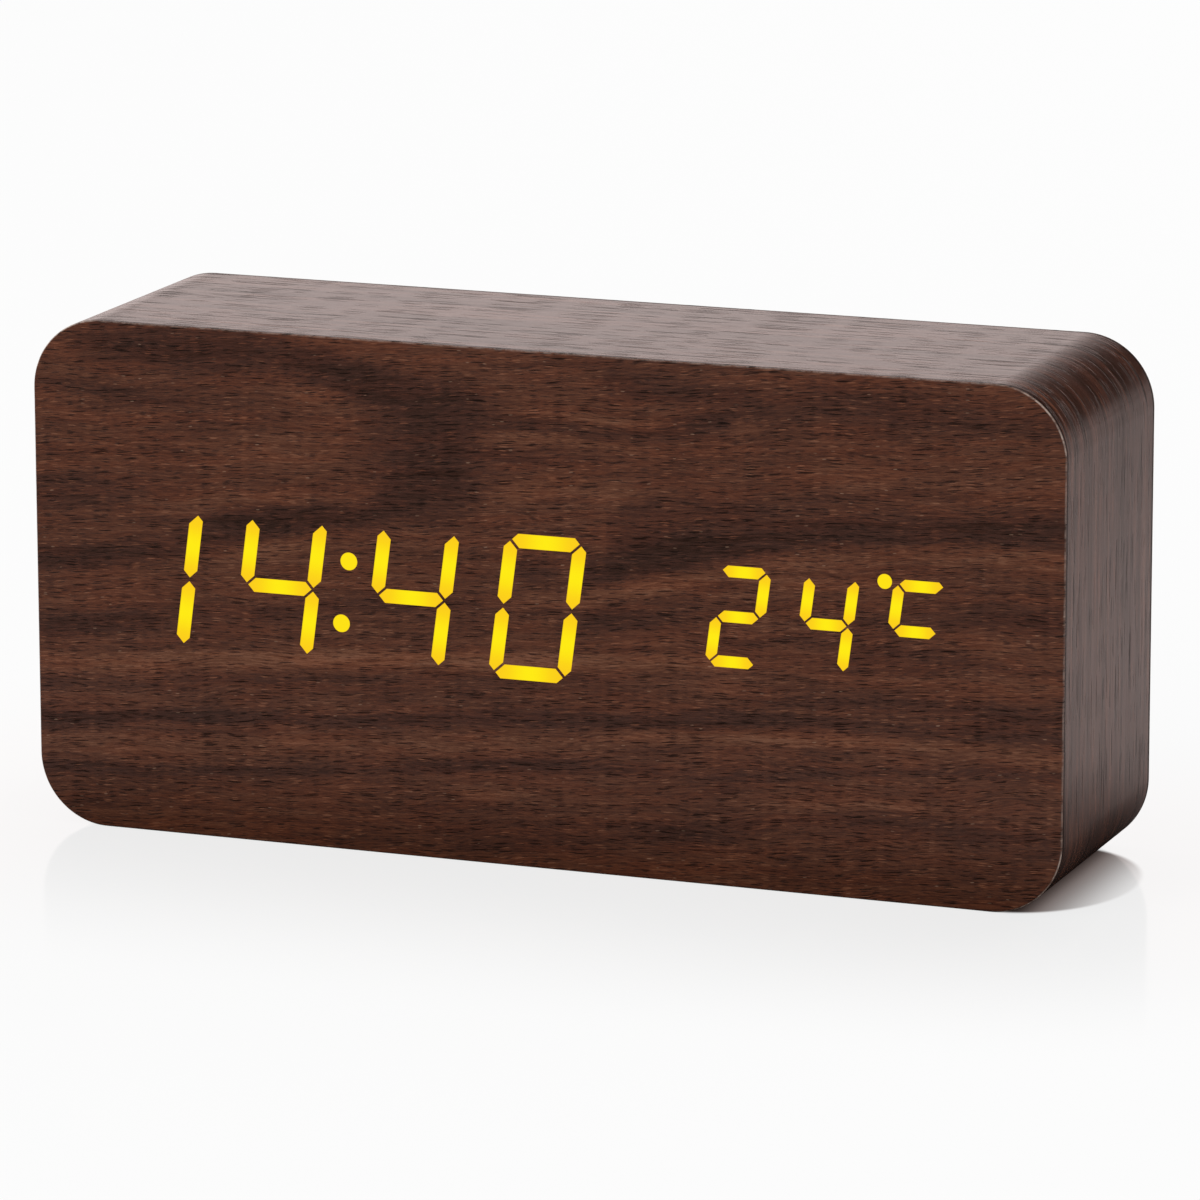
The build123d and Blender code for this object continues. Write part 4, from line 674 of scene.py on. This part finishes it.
class Shell:
    """A mesh being built from faces whose corners carry their own normals and map places."""

    def __init__(self, map_name=None):
        self.map_name = map_name
        self.points = {}
        self.faces = []
        self.normals = []
        self.places = []

    def corner(self, point):
        key = tuple(round(c * WELD) for c in point)
        return self.points.setdefault(key, (len(self.points), tuple(point)))[0]

    def face(self, points, normals=None, places=None):
        """A face. normals is one per corner, or one vector for all, or None for a flat face."""
        points = list(points)
        flat = sum(((Vector(a) - Vector(points[0])).cross(Vector(b) - Vector(points[0]))
                    for a, b in zip(points[1:], points[2:])), Vector()).normalized()
        if normals is None:
            normals = flat
        if isinstance(normals, Vector):
            normals = [normals] * len(points)
        places = places or [(0.0, 0.0)] * len(points)
        if sum(flat.dot(n) for n in normals) < 0:
            points, normals, places = points[::-1], normals[::-1], places[::-1]
        self.faces.append([self.corner(p) for p in points])
        self.normals += [tuple(n) for n in normals]
        self.places += places

    def build(self, name, slot, body, replaced):
        mesh = bpy.data.meshes.new(name)
        mesh.from_pydata([p for _, p in sorted(self.points.values())], [], self.faces)
        if self.map_name:
            layer = mesh.uv_layers.new(name=self.map_name)
            for loop, place in zip(layer.data, self.places):
                loop.uv = place
        for polygon in mesh.polygons:
            polygon.use_smooth = True
        mesh.normals_split_custom_set(self.normals)
        piece = add(name, mesh)
        mesh.materials.append(finishes[slot])
        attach(piece, body)
        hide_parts(*replaced)


def rounded_outline(half_width, half_height, radius, middle_z, start_gap=0.0):
    """Points, outward normals and lengths run round a rectangle, from the middle of its underside.
    They go counter-clockwise as seen from the front: right, up, left and down again."""
    rows = []
    run = half_width - radius
    rows.append(((start_gap, middle_z - half_height), (0.0, -1.0)))
    for k, (cx, cz) in enumerate([(run, -1), (run, 1), (-run, 1), (-run, -1)]):
        centre_z = middle_z + cz * (half_height - radius)
        for step in range(CORNER_STEPS + 1):
            turn = math.radians(-90 + 90 * k + 90 * step / CORNER_STEPS)
            normal = (math.cos(turn), math.sin(turn))
            rows.append(((cx + radius * normal[0], centre_z + radius * normal[1]), normal))
    if start_gap:
        rows.append(((-start_gap, middle_z - half_height), (0.0, -1.0)))
    lengths = [0.0]
    for (a, _), (b, _) in zip(rows, rows[1:]):
        lengths.append(lengths[-1] + math.dist(a, b))
    return [(p, n, length) for (p, n), length in zip(rows, lengths)]


def body_outline(inset=0.0, start_gap=0.0):
    half_width, half_height = WIDTH / 2 - inset, HEIGHT / 2 - inset
    return rounded_outline(half_width, half_height, CORNER_RADIUS - inset, HEIGHT / 2, start_gap)


def bar_outlines(width, height, stroke_width, gap):
    """The outlines of bars a to g of one digit, before it slants, as in the CAD model."""
    tip = stroke_width * TIP_SHARE
    cut = gap / math.sqrt(2)
    middle, half = height / 2, stroke_width / 2
    near, far = stroke_width + cut, width - stroke_width - cut
    right_top = [
        (width - stroke_width, height - near), (width - stroke_width, middle + half + cut),
        (width - half, middle + cut), (width, middle + half + cut),
        (width, height - 2 * tip - cut), (width - tip, height - tip - cut),
    ]
    top = [
        (near, height - stroke_width), (far, height - stroke_width), (width - tip - cut, height - tip),
        (width - 2 * tip - cut, height), (2 * tip + cut, height), (tip + cut, height - tip),
    ]
    centre = [
        (half + cut, middle), (near, middle - half), (far, middle - half),
        (width - half - cut, middle), (far, middle + half), (near, middle + half),
    ]

    def upside_down(points):
        return [(x, height - z) for x, z in reversed(points)]

    def swapped(points):
        return [(width - x, z) for x, z in reversed(points)]

    return {
        "a": top, "b": right_top, "c": upside_down(right_top), "d": upside_down(top),
        "e": upside_down(swapped(right_top)), "f": swapped(right_top), "g": centre,
    }


def lit_outlines(cells, size):
    """Each lit bar as its outline, in metres, and the line that it runs along."""
    width, height, stroke_width, gap = size
    found = []
    for x, z, letters in cells:
        outlines = bar_outlines(width, height, stroke_width, gap)
        for letter in letters:
            points = [
                ((x + px - width / 2 + SLANT * (pz - height / 2)) * MM, (z + pz - height / 2) * MM)
                for px, pz in outlines[letter]
            ]
            upright = letter in "bcef"
            found.append((points, (SLANT, 1.0) if upright else (1.0, 0.0)))
    return found


def dot_outline(x, z, radius):
    turns = [2 * math.pi * k / DOT_SIDES for k in range(DOT_SIDES)]
    return [((x + radius * math.cos(t)) * MM, (z + radius * math.sin(t)) * MM) for t in turns]


def anticlockwise(points):
    area = sum(a[0] * b[1] - b[0] * a[1] for a, b in zip(points, points[1:] + points[:1]))
    return points if area > 0 else list(reversed(points))


LIT = {
    "lit_time_segments": lit_outlines(TIME_CELLS, TIME_SIZE),
    "lit_colon_dots": [(dot_outline(*dot), (1.0, 0.0)) for dot in COLON_DOTS],
    "lit_temperature_segments": lit_outlines(TEMP_CELLS, TEMP_SIZE),
    "lit_unit_sign": lit_outlines(UNIT_CELLS, TEMP_SIZE) + [(dot_outline(*DEGREE_DOT), (1.0, 0.0))],
}


def inset_loop(points, distance):
    """The outline moved in by a distance, corner by corner. The points go anticlockwise."""
    moved = []
    for before, here, after in zip(points[-1:] + points[:-1], points, points[1:] + points[:1]):
        a = (Vector(here) - Vector(before)).normalized()
        b = (Vector(after) - Vector(here)).normalized()
        na, nb = Vector((-a.y, a.x)), Vector((-b.y, b.x))
        way = na + nb
        moved.append(tuple(Vector(here) + way * (distance / (1 + na.dot(nb)))))
    return moved


def lit_piece(name):
    """The glowing stretches: each bar has a face with its own map, from end to end and from rim in."""
    shell = Shell("bar")
    front, back = FRONT_Y, FRONT_Y + LIT_DEPTH
    for points, line in LIT[name]:
        points = list(anticlockwise(points))
        middle = Vector((sum(p[0] for p in points), sum(p[1] for p in points))) / len(points)
        way = Vector(line).normalized()
        reach = max(abs((Vector(p) - middle).dot(way)) for p in points)
        is_dot = len(points) == DOT_SIDES
        inner = inset_loop(points, RIM_WIDTH)

        def mapped(p):
            return DOT_TONE if is_dot else (Vector(p) - middle).dot(way) / reach

        def at(p, y):
            return (p[0], y, p[1])

        for a, b, ia, ib in zip(points, points[1:] + points[:1], inner, inner[1:] + inner[:1]):
            quad = [at(a, front), at(b, front), at(ib, front), at(ia, front)]
            places = [(mapped(a), 0.0), (mapped(b), 0.0), (mapped(ib), 1.0), (mapped(ia), 1.0)]
            shell.face(quad, Vector((0, -1, 0)), places)
            side = [at(a, back), at(b, back), at(b, front), at(a, front)]
            shell.face(side, None, [(mapped(a), 0.0), (mapped(b), 0.0), (mapped(b), 0.0), (mapped(a), 0.0)])
        shell.face([at(p, front) for p in inner], Vector((0, -1, 0)), [(mapped(p), 1.0) for p in inner])
        points.reverse()
        shell.face([at(p, back) for p in points], Vector((0, 1, 0)), [(mapped(p), 1.0) for p in points])
    shell.build(name + "_glow", "lit_yellow", "clock_body", [name])


def sheet(name, slot, outside_y, inside_y, holes, replaced, opening=None):
    """A veneer sheet with a rounded outer edge. holes are shallow seats; opening goes right through."""
    shell = Shell()
    facing = -1.0 if outside_y < inside_y else 1.0
    rings = []
    for step in range(EDGE_STEPS + 1):
        turn = math.radians(90 * step / EDGE_STEPS)
        inset = EDGE_ROUND * (1 - math.sin(turn))
        y = outside_y - facing * EDGE_ROUND * (1 - math.cos(turn))
        rings.append([
            ((p[0], y, p[1]), Vector((n[0] * math.sin(turn), facing * math.cos(turn), n[1] * math.sin(turn))))
            for p, n, _ in body_outline(inset)
        ])
    rings.append([((p[0], inside_y, p[1]), Vector((n[0], 0, n[1]))) for p, n, _ in body_outline()])

    def quads(lower, upper):
        for a, b, c, d in zip(lower, lower[1:] + lower[:1], upper[1:] + upper[:1], upper):
            order = [d, c, b, a] if facing < 0 else [a, b, c, d]
            shell.face([point for point, _ in order], [normal for _, normal in order])

    for lower, upper in zip(rings, rings[1:]):
        quads(lower, upper)

    def fill(loops, y, normal):
        """A flat face inside the first loop, without what lies inside the other loops."""
        points, edges = [], []
        for loop in loops:
            ids = list(range(len(points), len(points) + len(loop)))
            points += [Vector(p) for p in loop]
            edges += list(zip(ids, ids[1:] + ids[:1]))
        verts, _, triangles, _, _, _ = delaunay_2d_cdt(points, edges, [], 1, 1e-9)
        for tri in triangles:
            corner = [verts[k] for k in tri]
            middle = sum(corner, Vector((0, 0))) / 3
            if not any(inside(middle, loop) for loop in loops[1:]):
                shell.face([(p.x, y, p.y) for p in corner], normal)

    outer, rear = ([(p[0], p[2]) for p, _ in ring] for ring in (rings[0], rings[-1]))
    seats = [anticlockwise(h) for h in holes]
    if opening:
        fill([outer, opening], outside_y, Vector((0, facing, 0)))
        fill([rear, opening], inside_y, Vector((0, -facing, 0)))
        walls(shell, opening, outside_y, inside_y)
    else:
        fill([outer] + seats, outside_y, Vector((0, facing, 0)))
        fill([rear], inside_y, Vector((0, -facing, 0)))
        for seat in seats:
            floor_y = outside_y - facing * LIT_DEPTH
            walls(shell, seat, outside_y, floor_y)
            fill([seat], floor_y, Vector((0, facing, 0)))
    shell.build(name, slot, "clock_body", replaced)


def cells():
    """The three cells with their rolled jackets, recessed plates and nubs."""
    shell = Shell("jacket")
    # Along from the flat end, radius, and whether the stretch up to the next point is bare metal
    profile = [
        (0.25, 0.0, 1), (0.25, 3.9, 1), (0.12, 4.3, 1), (0.12, 4.55, 0), (0.0, 4.7, 0), (0.0, 4.95, 0),
        (0.1, 5.15, 0), (0.3, 5.25, 0), (RING_FROM, 5.25, 0), (43.2, 5.25, 0), (43.4, 5.15, 0),
        (43.5, 4.95, 0), (43.5, 4.7, 0), (43.35, 4.5, 1), (43.35, 3.0, 1), (43.5, 2.7, 1),
        (43.5, 1.9, 1), (44.3, 1.9, 1), (44.45, 1.75, 1), (CELL_LENGTH, 1.5, 1), (CELL_LENGTH, 0.0, 1),
    ]
    for row, z in enumerate(CELL_ZS):
        side = 1 if row % 2 == 0 else -1
        foot = side * (CELL_TIP - CELL_LENGTH)

        def at(along, radius, turn):
            x = foot + side * along
            return (x * MM, (CELL_Y + radius * math.cos(turn)) * MM, (z + radius * math.sin(turn)) * MM)

        for (a, ra, bare), (b, rb, _) in zip(profile, profile[1:]):
            slope = Vector((ra - rb, b - a)).normalized()
            for step in range(CELL_SIDES):
                turns = [2 * math.pi * (step + k) / CELL_SIDES for k in (0, 1)]
                corners = [(a, ra, turns[0]), (b, rb, turns[0]), (b, rb, turns[1]), (a, ra, turns[1])]
                corners = [c for n, c in enumerate(corners) if c[1] > 0 or n in (0, 1)]
                normals = [Vector((side * slope.x, slope.y * math.cos(t), slope.y * math.sin(t)))
                           for _, _, t in corners]
                places = [(along, BARE if bare else t / (2 * math.pi)) for along, _, t in corners]
                shell.face([at(*c) for c in corners], normals, places)
    shell.build("battery_cells_dressed", "cell_jacket", "clock_body", ["battery_cells"])


def inside(point, loop):
    """Whether a point lies in a loop."""
    hit = False
    for a, b in zip(loop, loop[1:] + loop[:1]):
        if (a[1] > point[1]) != (b[1] > point[1]):
            if point[0] < a[0] + (point[1] - a[1]) / (b[1] - a[1]) * (b[0] - a[0]):
                hit = not hit
    return hit


def walls(shell, loop, y_from, y_to):
    """The walls of a hole, which face into it."""
    for a, b in zip(loop, loop[1:] + loop[:1]):
        quad = [(a[0], y_from, a[1]), (b[0], y_from, b[1]), (b[0], y_to, b[1]), (a[0], y_to, a[1])]
        middle = (Vector(a) + Vector(b)) / 2
        along = Vector((b[0] - a[0], b[1] - a[1]))
        normal = Vector((-along.y, along.x)).normalized()
        if not inside(middle + normal * NUDGE, loop):
            normal = -normal
        shell.face(quad, Vector((normal.x, 0, normal.y)))


def band():
    """The veneer band round the sides. Its map runs along the grain and across it, in millimetres."""
    shell = Shell("grain")
    front, back = FRONT_Y + VENEER, BACK_Y - VENEER
    outside = body_outline(0.0, SEAM / 2)
    # The inner rows take their place on the map from the outer ones
    within = [(p, n, run) for (p, n, _), (_, _, run) in zip(body_outline(VENEER, SEAM / 2), outside)]

    def strip(corners, normals):
        places = [(run / MM, y / MM) for (_, _, run), y in corners]
        shell.face([(p[0], y, p[1]) for (p, _, _), y in corners], normals, places)

    def out(row, sign):
        return Vector((row[1][0], 0, row[1][1])) * sign

    for a, b, ia, ib in zip(outside, outside[1:], within, within[1:]):
        strip([(a, front), (b, front), (b, back), (a, back)], [out(row, 1) for row in (a, b, b, a)])
        strip([(ia, back), (ib, back), (ib, front), (ia, front)], [out(row, -1) for row in (a, b, b, a)])
        strip([(ia, front), (ib, front), (b, front), (a, front)], Vector((0, -1, 0)))
        strip([(a, back), (b, back), (ib, back), (ia, back)], Vector((0, 1, 0)))
    strip([(outside[0], front), (outside[0], back), (within[0], back), (within[0], front)], None)
    strip([(within[-1], front), (within[-1], back), (outside[-1], back), (outside[-1], front)], None)
    shell.build("side_veneer_wrap", "walnut_band", "clock_body", ["side_veneer_band"])


for lit_name in LIT:
    lit_piece(lit_name)
rebate = [p for p, _, _ in rounded_outline(REBATE_HALF_WIDTH, REBATE_HALF_HEIGHT, REBATE_RADIUS, HEIGHT / 2)]
sheet("rear_veneer_rim", "walnut_rear", BACK_Y, BACK_Y - VENEER, [], ["rear_veneer"], rebate)
sheet("front_veneer_sheet", "walnut_front", FRONT_Y, FRONT_Y + VENEER,
      [points for name in LIT for points, _ in LIT[name]], ["front_veneer"])
band()
cells()


# Floor, light and camera

def floor_material():
    """A pale floor: white to the camera, with the block's faint mirror image and shadow near its foot, and a
    painted reflection and shadow beside the right side.
    """
    graph = Graph("pale_floor")
    m = graph.math
    x, y, _ = graph.millimetres()
    # Distance from the footprint
    dx = m("MAXIMUM", m("SUBTRACT", m("ABSOLUTE", x), FOOT_X), 0.0)
    dy = m("MAXIMUM", m("SUBTRACT", m("ABSOLUTE", y), FOOT_Y), 0.0)
    away = m("SQRT", m("ADD", m("MULTIPLY", dx, dx), m("MULTIPLY", dy, dy)))
    fade = m("MULTIPLY", graph.ease(away, 0.0, MIRROR_REACH, 1.0, 0.0), MIRROR_SHARE)
    # A painted reflection and shadow of the right side show in an oval beside its foot, and fade away from
    # the block
    oval = m("ADD", m("POWER", m("MULTIPLY", m("SUBTRACT", x, OVAL_X), 1 / OVAL_HALF_X), 2.0),
             m("POWER", m("MULTIPLY", m("SUBTRACT", y, OVAL_Y), 1 / OVAL_HALF_Y), 2.0))
    painted_reflection_and_shadow = m("MULTIPLY", graph.ease(oval, 0.86, 1.0, 1.0, 0.0), graph.ease(x, 69.5, 81.0, 1.0, 0.12))
    # Painted shadow and reflection: dark brown at the right side's foot, pinkish grey further out, tint the
    # floor's white inside the oval
    foot = graph.mix(graph.ease(x, 67.8, 71.8), rgb("2e221e"), rgb("776a66"))
    white = graph.node("Emission", {"Color": graph.mix(painted_reflection_and_shadow, WHITE, foot), "Strength": 1.0}).outputs[0]
    pale = graph.node("BsdfDiffuse", {"Color": [0.86, 0.86, 0.86, 1]}).outputs[0]
    mirror = graph.node("BsdfGlossy", {"Color": WHITE, "Roughness": 0.1}).outputs[0]
    lit = graph.blend(LIT_SHARE, white, pale)
    shown = graph.blend(fade, lit, mirror)
    # Gloss sees a lit floor that darkens towards the camera and to the right, and a painted shade that
    # darkens it near the block's foot
    near = graph.ease(y, -160.0, -20.0, GLOSS_FRONT, 1.0)
    near = m("MULTIPLY", near, graph.ease(x, 80.0, 190.0, 0.95, GLOSS_RIGHT))
    near = m("MULTIPLY", near, graph.ease(away, 0.0, 62.0, 0.02, 0.95))
    glossy = graph.node("BsdfDiffuse", {"Color": graph.mix(near, BLACK, WARM)}).outputs[0]
    # Painted shade: the floor that light bounces from is darker near the block's foot, standing in for its
    # contact shadow
    painted_shade_bounce = graph.mix(graph.ease(away, 0.0, 40.0), rgb("5c5450"), [0.8, 0.8, 0.8, 1])
    plain = graph.node("BsdfDiffuse", {"Color": painted_shade_bounce}).outputs[0]
    seen, gloss = graph.rays()
    return graph.finished(graph.blend(seen, graph.blend(gloss, plain, glossy), shown))


def make_floor():
    mesh = bpy.data.meshes.new("studio_floor")
    grid = bmesh.new()
    bmesh.ops.create_grid(grid, x_segments=1, y_segments=1, size=FLOOR_SIZE)
    grid.to_mesh(mesh)
    grid.free()
    mesh.materials.append(floor_material())
    floor = add("studio_floor", mesh)


def make_world():
    """Plain grey light, with white behind the block and low down for the camera and for gloss.
    Gloss sees it darker high up and on the camera's side, as in a studio with one white sweep."""
    graph = Graph("studio", "World")
    place = graph.node("TexCoord").outputs["Generated"]
    x, y, z = graph.parts(place)
    top = graph.ease(x, -0.15, 0.3, GLOSS_TOP_LEFT, GLOSS_TOP_RIGHT)
    high = graph.ease(graph.math("SUBTRACT", z, top), 0.0, 0.2, GLOSS_BACK, GLOSS_DARK)
    near = graph.ease(y, -0.45, 0.1, GLOSS_FRONT, 1.0)
    near = graph.math("MULTIPLY", near, graph.ease(x, -0.1, 0.35, 1.0, GLOSS_RIGHT))
    sweep, ambient, white = (
        graph.node("Background", {"Color": colour, "Strength": strength}).outputs[0]
        for colour, strength in ((WARM, graph.math("MULTIPLY", high, near)), (WHITE, AMBIENT), (WHITE, 1.0))
    )
    seen, gloss = graph.rays()
    bpy.context.scene.world = graph.finished(graph.blend(seen, graph.blend(gloss, ambient, sweep), white))


def make_lamps():
    for name, place, size, power in LAMPS:
        lamp = bpy.data.lights.new(name, "AREA")
        lamp.shape = "DISK"
        lamp.size = size
        lamp.energy = power
        holder = add(name, lamp)
        holder.location = place
        holder.visible_glossy = False
        holder.rotation_euler = (LAMP_AIM - Vector(place)).to_track_quat("-Z", "Y").to_euler()


def make_camera():
    turn, rise = CAMERA_TURN, CAMERA_RISE
    back = Vector((math.sin(turn) * math.cos(rise), -math.cos(turn) * math.cos(rise), math.sin(rise)))
    right = Vector((math.cos(turn), math.sin(turn), 0))
    up = back.cross(right)
    c, s = math.cos(CAMERA_ROLL), math.sin(CAMERA_ROLL)
    right, up = right * c + up * s, up * c - right * s
    data = bpy.data.cameras.new("photo_camera")
    data.sensor_width = SENSOR_MM
    data.sensor_fit = "HORIZONTAL"
    data.lens = LENS_MM
    data.clip_start = 0.01
    data.clip_end = 50.0
    camera = add("photo_camera", data)
    place = CAMERA_TARGET + back * CAMERA_DISTANCE
    camera.matrix_world = Matrix.Translation(place) @ Matrix((right, up, back)).transposed().to_4x4()
    bpy.context.scene.camera = camera


make_floor()
make_world()
make_lamps()
make_camera()
bpy.context.scene.view_settings.view_transform = "Standard"
